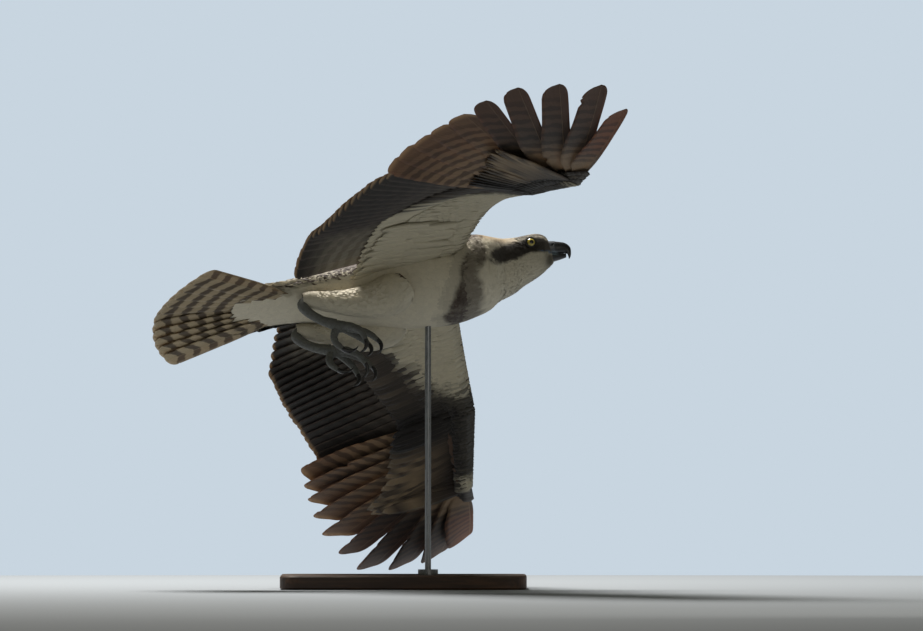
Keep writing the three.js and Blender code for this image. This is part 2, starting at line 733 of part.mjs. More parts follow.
function tailVane(shaft) {
  const along = vec(-Math.cos(shaft.angle), Math.sin(shaft.angle), 0);
  const across = vec(Math.sin(shaft.angle), Math.cos(shaft.angle), 0);
  const length = TAIL.length * shaft.long;
  const rings = STEPS.tail.map((t) => {
    const here = vec(...TAIL.pivot).addScaledVector(along, lerp(TAIL.start, length, t))
      .add(vec(0, 0, shaft.layer));
    const axes = { here, c: across.clone().multiplyScalar(shaft.side), n: vec(0, 0, 1) };
    return vaneRing(axes, between(VANES.tail.front, t), between(VANES.tail.back, t),
      lerp(TAIL.shaft, SHAFT_TIP, t), 0);
  });
  return loft(rings, true);
}

function buildTail(body) {
  const vanes = tailShafts().map((shaft) => solidOf(tailVane(shaft)));
  return joined([body.stem, ...vanes]).intersect(body.tailBlock);
}

// Legs, for the left side, with Y turned over for the right one

// Rows: place of the middle and radius
const THIGH = [
  [-92, 44, -18, 24], [-112, 46, -27, 27], [-140, 47, -31, 23], [-170, 46, -27, 17],
  [-200, 45, -18, 12.5], [-216, 44, -12, 10.5], [-226, 44, -10, 8],
];
const SHANK = [
  [-222, 44, -10, 5], [-228, 43.5, -18, 7], [-222, 42, -30, 6.2], [-208, 39, -42, 6],
  [-192, 36, -50, 7.6],
];
const FOOT = [-187, 35, -52];
const PALM = [11, 8, 7];
const TOES = [
  { name: 'inner', path: [[0, 0, 0], [14, -9, -8], [27, -12, -19], [33, -9, -31]] },
  { name: 'middle', path: [[0, 0, 0], [17, 0, -9], [33, 2, -19], [43, 3, -32]] },
  { name: 'outer', path: [[0, 0, 0], [12, 10, -9], [22, 16, -21], [25, 15, -34]] },
  { name: 'hind', path: [[0, 0, 0], [-9, -2, -10], [-10, -4, -21], [-3, -5, -31]] },
];
const TOE_RADIUS = [6.2, 4.9, 4.3, 3.3];
const CLAW = { length: 24, curl: 105 };
const CLAW_RADIUS = [3.1, 3.1, 2.7, 2.1, 1.3, 0.3];

// Tube of changing radius along a curve through points
function limb(points, radii, sides, steps, grow = 0) {
  const curve = new THREE.CatmullRomCurve3(points, false, 'centripetal');
  const frames = curve.computeFrenetFrames(steps, false);
  const rings = [];
  for (let k = 0; k <= steps; k += 1) {
    const centre = curve.getPointAt(k / steps);
    const place = curve.getUtoTmapping(k / steps) * (radii.length - 1);
    const [radius] = through(radii.map((r) => [r]), place);
    const shift = (k === 0 ? -grow : 0) + (k === steps ? grow : 0);
    centre.addScaledVector(frames.tangents[k], shift);
    const points2 = [];
    for (let i = 0; i < sides; i += 1) {
      const angle = (2 * Math.PI * i) / sides;
      points2.push(centre.clone()
        .addScaledVector(frames.normals[k], (radius + grow) * Math.cos(angle))
        .addScaledVector(frames.binormals[k], (radius + grow) * Math.sin(angle)));
    }
    rings.push(points2);
  }
  return solidOf(loft(rings));
}

const onSide = (side, [x, y, z]) => vec(x, side * y, z);

function toePoints(side, toe) {
  return toe.path.map(([x, y, z]) => onSide(side, [FOOT[0] + x, FOOT[1] + y, FOOT[2] + z]));
}

function buildLeg(side) {
  const thighPoints = THIGH.map((row) => onSide(side, row));
  const thighRadii = THIGH.map((row) => row[3]);
  const shankPoints = SHANK.map((row) => onSide(side, row));
  const shankRadii = SHANK.map((row) => row[3]);
  const shank = limb(shankPoints, shankRadii, 10, 8);
  const thigh = limb(thighPoints, thighRadii, 12, 10)
    .subtract(inflatedBody).subtract(limb(shankPoints, shankRadii, 10, 8, GAP));
  const palm = new THREE.SphereGeometry(1, 10, 6);
  palm.scale(...PALM);
  palm.translate(...onSide(side, FOOT).toArray());
  const toes = TOES.map((toe) => limb(toePoints(side, toe), TOE_RADIUS, 8, 5));
  const foot = joined([solidOf(palm), ...toes]).subtract(limb(shankPoints, shankRadii, 10, 8, GAP));
  return { shank, thigh, foot };
}

// A claw carries on from its toe and curls on in the same plane
function buildClaw(side, toe) {
  const toeCurve = new THREE.CatmullRomCurve3(toePoints(side, toe), false, 'centripetal');
  const end = toeCurve.getPointAt(1);
  const along = toeCurve.getTangentAt(1);
  const curl = vec(toe.name === 'hind' ? 1 : -1, 0, 0);
  const inward = curl.addScaledVector(along, -curl.dot(along)).normalize();
  const radius = CLAW.length / rad(CLAW.curl);
  const path = [0, 0.25, 0.5, 0.75, 1].map((t) => {
    const angle = rad(CLAW.curl) * t;
    return end.clone().addScaledVector(along, radius * Math.sin(angle))
      .addScaledVector(inward, radius * (1 - Math.cos(angle)));
  });
  path.unshift(end.clone().addScaledVector(along, -2));
  const facing = new THREE.Quaternion().setFromUnitVectors(vec(0, 0, 1), along);
  const beyondToe = block([-40, -40, GAP], [40, 40, 80],
    new THREE.Matrix4().compose(end, facing, vec(1, 1, 1)));
  return limb(path, CLAW_RADIUS, 7, 6).intersect(beyondToe);
}

// Display stand

function rodPlace() {
  const at = vec(STAND.rodX, 0, 0).applyMatrix4(birdMatrix);
  return [at.x, at.y, at.z];
}

function baseGeometry() {
  const { length, depth, height, corner, bevel } = STAND;
  const [w, d] = [length / 2, depth / 2];
  const outline = new THREE.Shape();
  outline.moveTo(corner - w, -d);
  outline.lineTo(w - corner, -d);
  outline.absarc(w - corner, corner - d, corner, -Math.PI / 2, 0);
  outline.lineTo(w, d - corner);
  outline.absarc(w - corner, d - corner, corner, 0, Math.PI / 2);
  outline.lineTo(corner - w, d);
  outline.absarc(corner - w, d - corner, corner, Math.PI / 2, Math.PI);
  outline.lineTo(-w, corner - d);
  outline.absarc(corner - w, corner - d, corner, Math.PI, 1.5 * Math.PI);
  return new THREE.ExtrudeGeometry(outline, {
    depth: height - 2 * bevel, bevelThickness: bevel, bevelSize: bevel, bevelOffset: -bevel,
    bevelSegments: 1, curveSegments: 4,
  }).translate(0, 0, bevel);
}

function rodCylinder(radius, low, high, sides = 20) {
  const [x, y] = rodPlace();
  const rod = new THREE.CylinderGeometry(radius, radius, high - low, sides);
  rod.rotateX(Math.PI / 2);
  return rod.translate(x, y, (low + high) / 2);
}

function buildStand() {
  const [, , centre] = rodPlace();
  const top = centre - STAND.belly + STAND.socket;
  const foot = STAND.height - STAND.hole;
  const rod = solidOf(rodCylinder(STAND.rod, foot, top));
  const base = solidOf(baseGeometry())
    .subtract(solidOf(rodCylinder(STAND.rod + GAP, foot - GAP, STAND.height + 10)));
  const lip = STAND.height + STAND.collarHeight;
  const collar = solidOf(rodCylinder(STAND.collar, STAND.height + GAP, lip, 24))
    .subtract(solidOf(rodCylinder(STAND.rod + GAP, STAND.height, lip + 3)));
  const toBird = birdMatrix.clone().invert();
  const socket = solidOf(rodCylinder(STAND.rod + GAP, centre - 120, top + GAP), toBird);
  return { rod, base, collar, socket };
}

// Materials

const finish = (color, roughness, metalness = 0) => new THREE.MeshStandardMaterial({
  color, roughness, metalness });
const MATERIALS = {
  white: () => finish(0xd8d2c4, 0.9),
  brown: () => finish(0x4a3b30, 0.9),
  flight: () => finish(0x5b4a3c, 0.8),
  bill: () => finish(0x23262b, 0.4),
  eye: () => finish(0xd8b02a, 0.15),
  skin: () => finish(0x9aa6a8, 0.7),
  claw: () => finish(0x17181a, 0.35),
  wood: () => finish(0x6b4a30, 0.5),
  steel: () => finish(0xb9bcc0, 0.3, 1),
};

// Assembly: the bird hangs in its own turned group, the stand stands upright

const osprey = new THREE.Group();
const bird = new THREE.Group();
bird.applyMatrix4(birdMatrix);
osprey.add(bird);

function addPiece(parent, name, solid, material) {
  const mesh = new THREE.Mesh(geometryOf(solid), material);
  mesh.name = name;
  parent.add(mesh);
}

const stand = buildStand();
const bill = buildBill();
bill.socket = billSkin(UPPER_BILL, GAP, BILL_SIDES).add(billSkin(LOWER_BILL, GAP, BILL_SIDES));
const body = buildBody(bill);

addPiece(bird, 'torso', body.torso.subtract(stand.socket), MATERIALS.white());
addPiece(bird, 'neck', body.neck, MATERIALS.white());
addPiece(bird, 'head', body.head, MATERIALS.white());
addPiece(bird, 'bill_upper', bill.upper, MATERIALS.bill());
addPiece(bird, 'bill_lower', bill.lower, MATERIALS.bill());
addPiece(bird, 'tail', buildTail(body), MATERIALS.flight());

for (const [label, wing] of Object.entries(WINGS)) {
  addPiece(bird, `eye_${label}`, eyeball(wing.side, 0), MATERIALS.eye());
  for (const [part, solid] of Object.entries(buildWing(wing))) {
    addPiece(bird, `wing_${label}_${part}`, wing.side < 0 ? mirrored(solid) : solid,
      MATERIALS.flight());
  }
  const leg = buildLeg(wing.side);
  addPiece(bird, `thigh_${label}`, leg.thigh, MATERIALS.white());
  addPiece(bird, `tarsus_${label}`, leg.shank, MATERIALS.skin());
  addPiece(bird, `foot_${label}`, leg.foot, MATERIALS.skin());
  for (const toe of TOES) {
    addPiece(bird, `claw_${label}_${toe.name}`, buildClaw(wing.side, toe), MATERIALS.claw());
  }
}

addPiece(osprey, 'stand_base', stand.base, MATERIALS.wood());
addPiece(osprey, 'stand_collar', stand.collar, MATERIALS.steel());
addPiece(osprey, 'stand_rod', stand.rod, MATERIALS.steel());

export default osprey;
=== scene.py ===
# %% [markdown]
# # A life-size osprey in banked flight
# The solids arrive first, as the frame that every visible piece has to fit. Each step
# below builds one part of the bird over them: skin, small feathers, flight feathers,
# head, legs and stand. Lengths are in millimetres until a mesh is made in metres.

# %% Load the frame
import bpy
import numpy as np
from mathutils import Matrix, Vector


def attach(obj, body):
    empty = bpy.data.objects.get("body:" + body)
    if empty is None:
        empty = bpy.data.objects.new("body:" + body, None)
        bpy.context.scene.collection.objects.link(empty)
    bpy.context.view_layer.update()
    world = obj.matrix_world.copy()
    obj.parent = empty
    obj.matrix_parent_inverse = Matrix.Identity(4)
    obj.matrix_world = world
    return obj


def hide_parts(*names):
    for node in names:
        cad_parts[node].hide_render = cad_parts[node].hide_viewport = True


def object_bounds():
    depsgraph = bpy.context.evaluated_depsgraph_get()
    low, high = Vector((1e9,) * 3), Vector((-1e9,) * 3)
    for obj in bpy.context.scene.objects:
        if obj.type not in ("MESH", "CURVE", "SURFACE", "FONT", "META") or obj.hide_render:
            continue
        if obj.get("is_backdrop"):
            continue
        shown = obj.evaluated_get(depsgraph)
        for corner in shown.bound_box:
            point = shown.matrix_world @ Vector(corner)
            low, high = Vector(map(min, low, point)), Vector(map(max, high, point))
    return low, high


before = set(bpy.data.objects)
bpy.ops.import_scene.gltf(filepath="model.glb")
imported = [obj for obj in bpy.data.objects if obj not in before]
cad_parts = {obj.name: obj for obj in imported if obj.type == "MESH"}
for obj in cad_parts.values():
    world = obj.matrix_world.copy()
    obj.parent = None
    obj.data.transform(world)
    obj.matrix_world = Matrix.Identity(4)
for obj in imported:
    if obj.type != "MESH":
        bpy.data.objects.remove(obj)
cad_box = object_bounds()
MM = 0.001
print("nodes in the frame:", len(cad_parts))

# %% [markdown]
# ## Where the bird hangs
# The bird is drawn in its own frame, X towards the bill, Y to its left and Z out of its
# back, then rolled, pitched and turned into place. The head keeps its own attitude,
# because a bird in a banked turn holds its head nearly level.

# %% Frames of bird and head
def turn(roll, pitch, yaw):
    r, p, y = np.radians([roll, pitch, yaw])
    x_turn = np.array([[1, 0, 0], [0, np.cos(r), -np.sin(r)], [0, np.sin(r), np.cos(r)]])
    y_turn = np.array([[np.cos(p), 0, np.sin(p)], [0, 1, 0], [-np.sin(p), 0, np.cos(p)]])
    z_turn = np.array([[np.cos(y), -np.sin(y), 0], [np.sin(y), np.cos(y), 0], [0, 0, 1]])
    return z_turn @ y_turn @ x_turn


BIRD_TURN = turn(-28, -10.5, 12)
BIRD_AT = np.array([80.0, 10.0, 405.0])
HEAD_TURN = BIRD_TURN.T @ turn(-14, 0, 4)
HEAD_AT = np.array([91.2, -3.0, 14.5])


def to_world(points):
    return points @ BIRD_TURN.T + BIRD_AT


def head_to_bird(points):
    return points @ HEAD_TURN.T + HEAD_AT


def bird_to_head(points):
    return (points - HEAD_AT) @ HEAD_TURN


print("head axis in the bird:", np.round(HEAD_TURN[:, 0], 3))

# %% Small helpers
rng = np.random.default_rng(27)


def smooth(low, high, value):
    t = np.clip((np.asarray(value, float) - low) / (high - low), 0, 1)
    return t * t * (3 - 2 * t)


def lerp(a, b, t):
    return a + (b - a) * t


def unit(v):
    return v / np.maximum(np.linalg.norm(v, axis=-1, keepdims=True), 1e-9)


def through(rows, place):
    """Values of a table of rows at places between them, along a smooth curve."""
    rows = np.asarray(rows, float)
    place = np.atleast_1d(np.asarray(place, float))
    last = len(rows) - 1
    cell = np.clip(np.floor(place).astype(int), 0, last - 1)
    t = (place - cell)[:, None]
    a, b, c, d = (rows[np.clip(cell + k, 0, last)] for k in (-1, 0, 1, 2))
    slope_in, slope_out = (c - a) / 2, (d - b) / 2
    cubic = 2 * b - 2 * c + slope_in + slope_out
    square = 3 * (c - b) - 2 * slope_in - slope_out
    return ((cubic * t + square) * t + slope_in) * t + b


def table(pairs, place):
    pairs = np.asarray(pairs, float)
    return np.interp(place, pairs[:, 0], pairs[:, 1])


def srgb(*colour):
    """Display colour 0 to 255 as the linear value that shading works in."""
    c = np.asarray(colour, float) / 255
    return np.where(c <= 0.04045, c / 12.92, ((c + 0.055) / 1.055) ** 2.4)


def mix(a, b, t):
    return a + (b - a) * np.asarray(t)[..., None]


print("helpers ready")

# %% Turn arrays into a mesh piece
def piece(name, points, faces, material, tint, vane, patch):
    """One mesh object from points in the bird's millimetres, riding on the frame's one
    body. tint is a colour for each point with or without alpha, vane the place along and
    across a feather, and patch the place of each point on the unwrap of the skin."""
    points = to_world(points)
    faces = np.asarray(faces, np.int32)
    sides = faces.shape[1]
    mesh = bpy.data.meshes.new(name)
    mesh.vertices.add(len(points))
    mesh.vertices.foreach_set("co", (points * MM).astype(np.float32).ravel())
    mesh.loops.add(faces.size)
    mesh.loops.foreach_set("vertex_index", faces.ravel())
    mesh.polygons.add(len(faces))
    mesh.polygons.foreach_set("loop_start", np.arange(0, faces.size, sides, dtype=np.int32))
    mesh.polygons.foreach_set("loop_total", np.full(len(faces), sides, np.int32))
    mesh.update(calc_edges=True)
    mesh.polygons.foreach_set("use_smooth", np.full(len(faces), True))
    loops = faces.ravel()
    for map_name, values in (("OFBake", patch), ("Vane", vane)):
        if values is None:
            continue
        layer = mesh.uv_layers.new(name=map_name)
        layer.data.foreach_set("uv", values[loops].astype(np.float32).ravel())
    colour = mesh.color_attributes.new("Tint", "FLOAT_COLOR", "POINT")
    rgba = np.ones((len(points), 4), np.float32)
    rgba[:, :tint.shape[1]] = tint
    colour.data.foreach_set("color", rgba.ravel())
    obj = bpy.data.objects.new(name, mesh)
    bpy.context.scene.collection.objects.link(obj)
    mesh.materials.append(material)
    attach(obj, "root")
    return obj


def grid_faces(rows, columns, closed=False):
    """Quads over a grid of points, wrapped round across the columns if closed."""
    r = np.arange(rows - 1)[:, None]
    span = columns if closed else columns - 1
    c = np.arange(span)[None, :]
    nxt = (c + 1) % columns
    quad = [r * columns + c, r * columns + nxt, (r + 1) * columns + nxt, (r + 1) * columns + c]
    return np.stack([np.broadcast_to(q, (rows - 1, span)) for q in quad], -1).reshape(-1, 4)


print("mesh helper ready")

# %% [markdown]
# ## Shader effects shared by the materials
# A feather is not one flat colour: barbs run out from the shaft at a slant, bars cross
# it, and the shaft is a pale, raised line. Each effect is a node group with named
# sockets, so that every feather material can place it with its own values.

# %% Node helpers
def new_group(name, inputs, outputs):
    tree = bpy.data.node_groups.new(name, "ShaderNodeTree")
    for label, kind, value in inputs:
        socket = tree.interface.new_socket(label, in_out="INPUT", socket_type=kind)
        if value is not None:
            socket.default_value = value
    for label, kind in outputs:
        tree.interface.new_socket(label, in_out="OUTPUT", socket_type=kind)
    return tree, tree.nodes.new("NodeGroupInput"), tree.nodes.new("NodeGroupOutput")


def node(tree, kind, inputs=None, **settings):
    made = tree.nodes.new(kind)
    for key, value in settings.items():
        setattr(made, key, value)
    for key, value in (inputs or {}).items():
        if isinstance(value, bpy.types.NodeSocket):
            tree.links.new(value, made.inputs[key])
        else:
            made.inputs[key].default_value = value
    return made


def math(tree, operation, *values):
    made = tree.nodes.new("ShaderNodeMath")
    made.operation = operation
    for i, value in enumerate(values):
        if isinstance(value, bpy.types.NodeSocket):
            tree.links.new(value, made.inputs[i])
        else:
            made.inputs[i].default_value = value
    return made.outputs[0]


def blend_colour(tree, factor, a, b, blend_type="MIX"):
    made = node(tree, "ShaderNodeMix", data_type="RGBA", blend_type=blend_type)
    for place, value in ((0, factor), (6, a), (7, b)):
        if isinstance(value, bpy.types.NodeSocket):
            tree.links.new(value, made.inputs[place])
        else:
            made.inputs[place].default_value = value
    return made.outputs[2]


def ramp(tree, value, low, high, out_low=0.0, out_high=1.0):
    made = node(tree, "ShaderNodeMapRange", {"Value": value, "From Min": low, "From Max": high,
                                             "To Min": out_low, "To Max": out_high},
                interpolation_type="SMOOTHSTEP")
    return made.outputs[0]


print("node helpers ready")

# %% Group: barbs and shaft of a feather
# Along is 0 at the root and 1 at the tip, Across is -1 and 1 at the two edges.
barbs, g_in, g_out = new_group(
    "feather_barbs",
    [("Along", "NodeSocketFloat", 0.0), ("Across", "NodeSocketFloat", 0.0),
     ("Barbs", "NodeSocketFloat", 60.0), ("Slant", "NodeSocketFloat", 0.35),
     ("Shaft Width", "NodeSocketFloat", 0.06)],
    [("Barb", "NodeSocketFloat"), ("Shaft", "NodeSocketFloat"), ("Edge", "NodeSocketFloat")])
side = math(barbs, "ABSOLUTE", g_in.outputs["Across"])
lean = math(barbs, "MULTIPLY", side, g_in.outputs["Slant"])
phase = math(barbs, "SUBTRACT", g_in.outputs["Along"], lean)
place = node(barbs, "ShaderNodeCombineXYZ", {"X": math(barbs, "MULTIPLY", phase,
                                                       g_in.outputs["Barbs"]),
                                             "Y": math(barbs, "MULTIPLY",
                                                       g_in.outputs["Across"], 0.6)})
barb_noise = node(barbs, "ShaderNodeTexNoise", {"Vector": place.outputs[0], "Scale": 1.0,
                                                "Detail": 2.0, "Roughness": 0.6})
barbs.links.new(barb_noise.outputs["Fac"], g_out.inputs["Barb"])
barbs.links.new(ramp(barbs, math(barbs, "DIVIDE", side, g_in.outputs["Shaft Width"]),
                     1.3, 0.5), g_out.inputs["Shaft"])
barbs.links.new(ramp(barbs, side, 0.78, 1.0), g_out.inputs["Edge"])
print("group", barbs.name)

# %% Group: dark bars across a feather
bars, g_in, g_out = new_group(
    "feather_bars",
    [("Along", "NodeSocketFloat", 0.0), ("Across", "NodeSocketFloat", 0.0),
     ("Count", "NodeSocketFloat", 9.0), ("Width", "NodeSocketFloat", 0.5),
     ("Bend", "NodeSocketFloat", 0.03), ("Vary", "NodeSocketFloat", 0.0)],
    [("Bar", "NodeSocketFloat")])
side = math(bars, "ABSOLUTE", g_in.outputs["Across"])
wave_at = math(bars, "SUBTRACT", g_in.outputs["Along"],
               math(bars, "MULTIPLY", side, g_in.outputs["Bend"]))
spot = node(bars, "ShaderNodeCombineXYZ", {"X": math(bars, "MULTIPLY", g_in.outputs["Along"],
                                                     9.0), "Y": g_in.outputs["Across"],
                                           "Z": g_in.outputs["Vary"]})
wobble = node(bars, "ShaderNodeTexNoise", {"Vector": spot.outputs[0], "Scale": 2.2,
                                           "Detail": 1.0})
drift = math(bars, "MULTIPLY", math(bars, "SUBTRACT", wobble.outputs["Fac"], 0.5), 0.05)
turns = math(bars, "MULTIPLY", math(bars, "ADD", wave_at, drift), g_in.outputs["Count"])
saw = math(bars, "PINGPONG", math(bars, "ADD", turns, g_in.outputs["Vary"]), 0.5)
bars.links.new(ramp(bars, math(bars, "SUBTRACT", saw,
                               math(bars, "MULTIPLY", g_in.outputs["Width"], 0.5)),
                    -0.05, 0.06), g_out.inputs["Bar"])
print("group", bars.name)

# %% [markdown]
# ## Feather materials
# Small feathers, flight feathers and tail share one recipe with their own values. The
# colour of the marking comes with the mesh as Tint, so that skin and coat agree, and a
# little light passes through the vanes, as it does in a thin feather held to a lamp.

# %% Material helpers
def new_material(name):
    material = bpy.data.materials.new(name)
    material.use_nodes = True
    tree = material.node_tree
    tree.nodes.clear()
    out = node(tree, "ShaderNodeOutputMaterial")
    shader = node(tree, "ShaderNodeBsdfPrincipled")
    tree.links.new(shader.outputs[0], out.inputs["Surface"])
    return material, tree, shader, out


def use_group(tree, group, **values):
    made = tree.nodes.new("ShaderNodeGroup")
    made.node_tree = group
    for key, value in values.items():
        key = key.replace("_", " ")
        if isinstance(value, bpy.types.NodeSocket):
            tree.links.new(value, made.inputs[key])
        else:
            made.inputs[key].default_value = value
    return made


def add_bump(tree, shader, height, strength, distance):
    bump = node(tree, "ShaderNodeBump", {"Height": height, "Strength": strength,
                                         "Distance": distance})
    tree.links.new(bump.outputs[0], shader.inputs["Normal"])


def feather_material(name, barb_count, through_light, shaft_colour, shaft_width=0.05,
                     bar=None, relief=0.0004, shaft_strength=0.7, shades=(0.82, 1.12)):
    material, tree, shader, out = new_material(name)
    tint = node(tree, "ShaderNodeAttribute", attribute_name="Tint")
    vane = node(tree, "ShaderNodeUVMap", uv_map="Vane")
    axis = node(tree, "ShaderNodeSeparateXYZ", {"Vector": vane.outputs[0]})
    along, across = axis.outputs["X"], axis.outputs["Y"]
    barb = use_group(tree, barbs, Along=along, Across=across, Barbs=barb_count,
                     Shaft_Width=shaft_width)
    colour = tint.outputs["Color"]
    if bar:
        banded = use_group(tree, bars, Along=along, Across=across, Count=bar["count"],
                           Width=bar["width"], Bend=bar["bend"], Vary=tint.outputs["Alpha"])
        start = ramp(tree, along, *bar["from"])
        stop = ramp(tree, along, *bar["to"])
        inner = ramp(tree, across, *bar["inner"])
        mask = math(tree, "MULTIPLY", math(tree, "MULTIPLY", start, stop),
                    math(tree, "MULTIPLY", inner, banded.outputs["Bar"]))
        mask = math(tree, "MULTIPLY", mask, bar["depth"])
        colour = blend_colour(tree, mask, colour, (*bar["colour"], 1), "MULTIPLY")
    shade = ramp(tree, barb.outputs["Barb"], 0.3, 0.7, *shades)
    tone = node(tree, "ShaderNodeCombineColor", {0: shade, 1: shade, 2: shade})
    colour = blend_colour(tree, 1.0, colour, tone.outputs[0], "MULTIPLY")
    colour = blend_colour(tree, math(tree, "MULTIPLY", barb.outputs["Shaft"], shaft_strength),
                          colour, (*shaft_colour, 1))
    tree.links.new(colour, shader.inputs["Base Color"])
    shader.inputs["Roughness"].default_value = 0.62
    shader.inputs["Specular IOR Level"].default_value = 0.3
    shader.inputs["Sheen Weight"].default_value = 0.1
    height = math(tree, "ADD", barb.outputs["Barb"],
                  math(tree, "MULTIPLY", barb.outputs["Shaft"], 1.5))
    add_bump(tree, shader, height, 0.6, relief)
    glow = node(tree, "ShaderNodeBsdfTranslucent", {"Color": tint.outputs["Color"]})
    both = node(tree, "ShaderNodeMixShader", {0: through_light})
    tree.links.new(shader.outputs[0], both.inputs[1])
    tree.links.new(glow.outputs[0], both.inputs[2])
    tree.links.new(both.outputs[0], out.inputs["Surface"])
    return material


coat_mat = feather_material("body_feathers", 26.0, 0.22, srgb(190, 180, 160), 0.03,
                            shaft_strength=0.08, relief=0.0002, shades=(0.95, 1.04))
covert_mat = feather_material("wing_coverts", 40.0, 0.25, srgb(150, 135, 110), 0.03,
                              shaft_strength=0.15, shades=(0.9, 1.08))
primary_mat = feather_material(
    "primary_feathers", 130.0, 0.3, srgb(150, 124, 92), 0.03, shaft_strength=0.5,
    bar={"count": 12.5, "width": 0.5, "bend": 0.02, "from": (0.25, 0.4), "to": (0.97, 0.8),
         "inner": (0.3, -0.1), "depth": 0.75, "colour": srgb(110, 96, 84)})
secondary_mat = feather_material(
    "secondary_feathers", 100.0, 0.3, srgb(110, 98, 84), 0.025, shaft_strength=0.4,
    bar={"count": 9.0, "width": 0.5, "bend": 0.03, "from": (0.2, 0.35), "to": (0.94, 0.85),
         "inner": (1.0, -0.2), "depth": 0.4, "colour": srgb(130, 120, 110)})
tail_mat = feather_material(
    "tail_feathers", 110.0, 0.3, srgb(190, 172, 136), 0.03,
    bar={"count": 8.5, "width": 0.52, "bend": 0.04, "from": (0.1, 0.2), "to": (1.0, 0.975),
         "inner": (1.2, 0.6), "depth": 0.9, "colour": srgb(92, 78, 66)})
print("feather materials:", 5)

# %% [markdown]
# ## The body's surface
# Trunk, neck and head are one run of rings, as in a ship's lines. A dense grid of points
# from those rings says where the outside of the coat lies, and the skin is the same grid
# drawn in by the depth of the coat. Measuring feathers along the grid keeps them on it.

# %% Rings of trunk and head
TRUNK = [(-318, 11, 43, 2.5, 3), (-298, 11, 51, 4, 5), (-275, 11, 53, 7, 8),
         (-250, 11, 52, 12, 12), (-215, 12, 47, 20, 22), (-170, 8, 46, 27, 32),
         (-120, 2, 54, 40, 42), (-70, 0, 60, 48, 50), (-20, 0, 63, 50, 54),
         (22, 2, 59, 45, 48)]
SKULL = [(-36, -20, 38, 38, 41), (-20, -13, 31, 33, 40), (-9, -9, 27, 31.5, 35),
         (2, -5, 25.2, 30, 32), (11, -2, 22, 27.5, 29), (18, 0, 17.5, 23.5, 25.5),
         (24, 0, 12.5, 18.5, 19.5), (28.5, -6, 8.5, 9, 10.5), (31, -9, 5, 3, 5)]
ROUND = 120
TURNS = 2 * np.pi * np.arange(ROUND) / ROUND


def ring(row, grow):
    x, middle, half, up, down = row
    s, c = np.sin(TURNS), np.cos(TURNS)
    full = 1 + 0.05 * np.sin(2 * TURNS) ** 2
    height = np.where(c > 0, up, down)
    return np.stack([np.full(ROUND, x), (half + grow) * s * full,
                     middle + (height + grow) * c * full], -1)


def body_rings(grow=lambda x: 0.0):
    rows = [ring(row, grow(row[0])) for row in through(TRUNK, np.arange(0, 9.001, 1 / 8))]
    start = np.array([TRUNK[-1][0], 0.0, 0.0])
    first = np.array(SKULL[0], float)
    end = head_to_bird(np.array([first[0], 0, 0]))
    for t in np.arange(1, 12) / 12:
        lean = lerp(np.eye(3), HEAD_TURN, smooth(0, 1, t))
        row = lerp(np.array(TRUNK[-1], float), first, t)
        at = lerp(start, end, t)
        rows.append(ring((0, *row[1:]), grow(at[0])) @ lean.T + at)
    for row in through(SKULL, np.arange(0, 8.001, 1 / 8)):
        rows.append(head_to_bird(ring(row, grow(60 + row[0]))))
    body = np.array(rows)
    for _ in range(3):
        body[1:-1] = (body[:-2] + 2 * body[1:-1] + body[2:]) / 4
    return body


def coat_depth(x):
    """Depth of the small feathers along the bird: thick on the trunk, thin on the face."""
    return float(np.interp(x, [-330, -250, -100, 20, 50, 75, 90], [2, 5, 7, 7, 3.5, 1.6, 1.0]))


OUTSIDE = body_rings()
SKIN = body_rings(lambda x: -coat_depth(x))
DEPTHS = np.linalg.norm(OUTSIDE - SKIN, axis=-1)
RINGS = len(OUTSIDE)
print("body grid:", OUTSIDE.shape, "coat depth", DEPTHS.min().round(1), "to", DEPTHS.max().round(1))

# %% Read the grid between its points
def grid_normals(body):
    along = np.gradient(body, axis=0)
    around = (np.roll(body, -1, 1) - np.roll(body, 1, 1)) / 2
    return unit(np.cross(around, along))


NORMALS = grid_normals(OUTSIDE)
centre_line = OUTSIDE.mean(1, keepdims=True)
if (np.sum(NORMALS * (OUTSIDE - centre_line), -1) < 0).mean() > 0.5:
    NORMALS = -NORMALS
STEP = np.linalg.norm(np.gradient(OUTSIDE, axis=0), axis=-1)
AROUND = np.linalg.norm(np.roll(OUTSIDE, -1, 1) - OUTSIDE, axis=-1)


def read_grid(field, r, a):
    r = np.clip(r, 0, RINGS - 1.001)
    a = np.mod(a, ROUND)
    r0, a0 = np.floor(r).astype(int), np.floor(a).astype(int)
    fr, fa = r - r0, a - a0
    a1 = (a0 + 1) % ROUND
    if field.ndim == 3:
        fr, fa = fr[..., None], fa[..., None]
    top = field[r0, a0] * (1 - fa) + field[r0, a1] * fa
    low = field[r0 + 1, a0] * (1 - fa) + field[r0 + 1, a1] * fa
    return top * (1 - fr) + low * fr


print("ring spacing", STEP.min().round(2), "to", STEP.max().round(2))

# %% [markdown]
# ## Markings
# The upper side is dark brown. Below, the bird is white with a loose brown band of
# streaks across the breast. The head is white, with a streaked crown, a dark stripe that
# runs from the bill through the eye and down the side of the neck, and a buff nape. One
# function gives the colour at any place, and both the skin and the coat ask it.

# %% Colours by place
WHITE = srgb(228, 219, 196)
CREAM = srgb(214, 188, 150)
BROWN = srgb(74, 55, 42)
DARK = srgb(38, 32, 29)
GREY = srgb(92, 84, 76)


def waves(points, size, seed):
    """Soft random field over space, from a few waves with seeded directions."""
    gen = np.random.default_rng(seed)
    total = np.zeros(points.shape[:-1])
    for _ in range(7):
        direction = gen.normal(size=3)
        direction /= np.linalg.norm(direction) * size * gen.uniform(0.6, 1.5)
        total = total + np.sin(points @ direction * 2 * np.pi + gen.uniform(0, 6.28))
    return total / 3.5


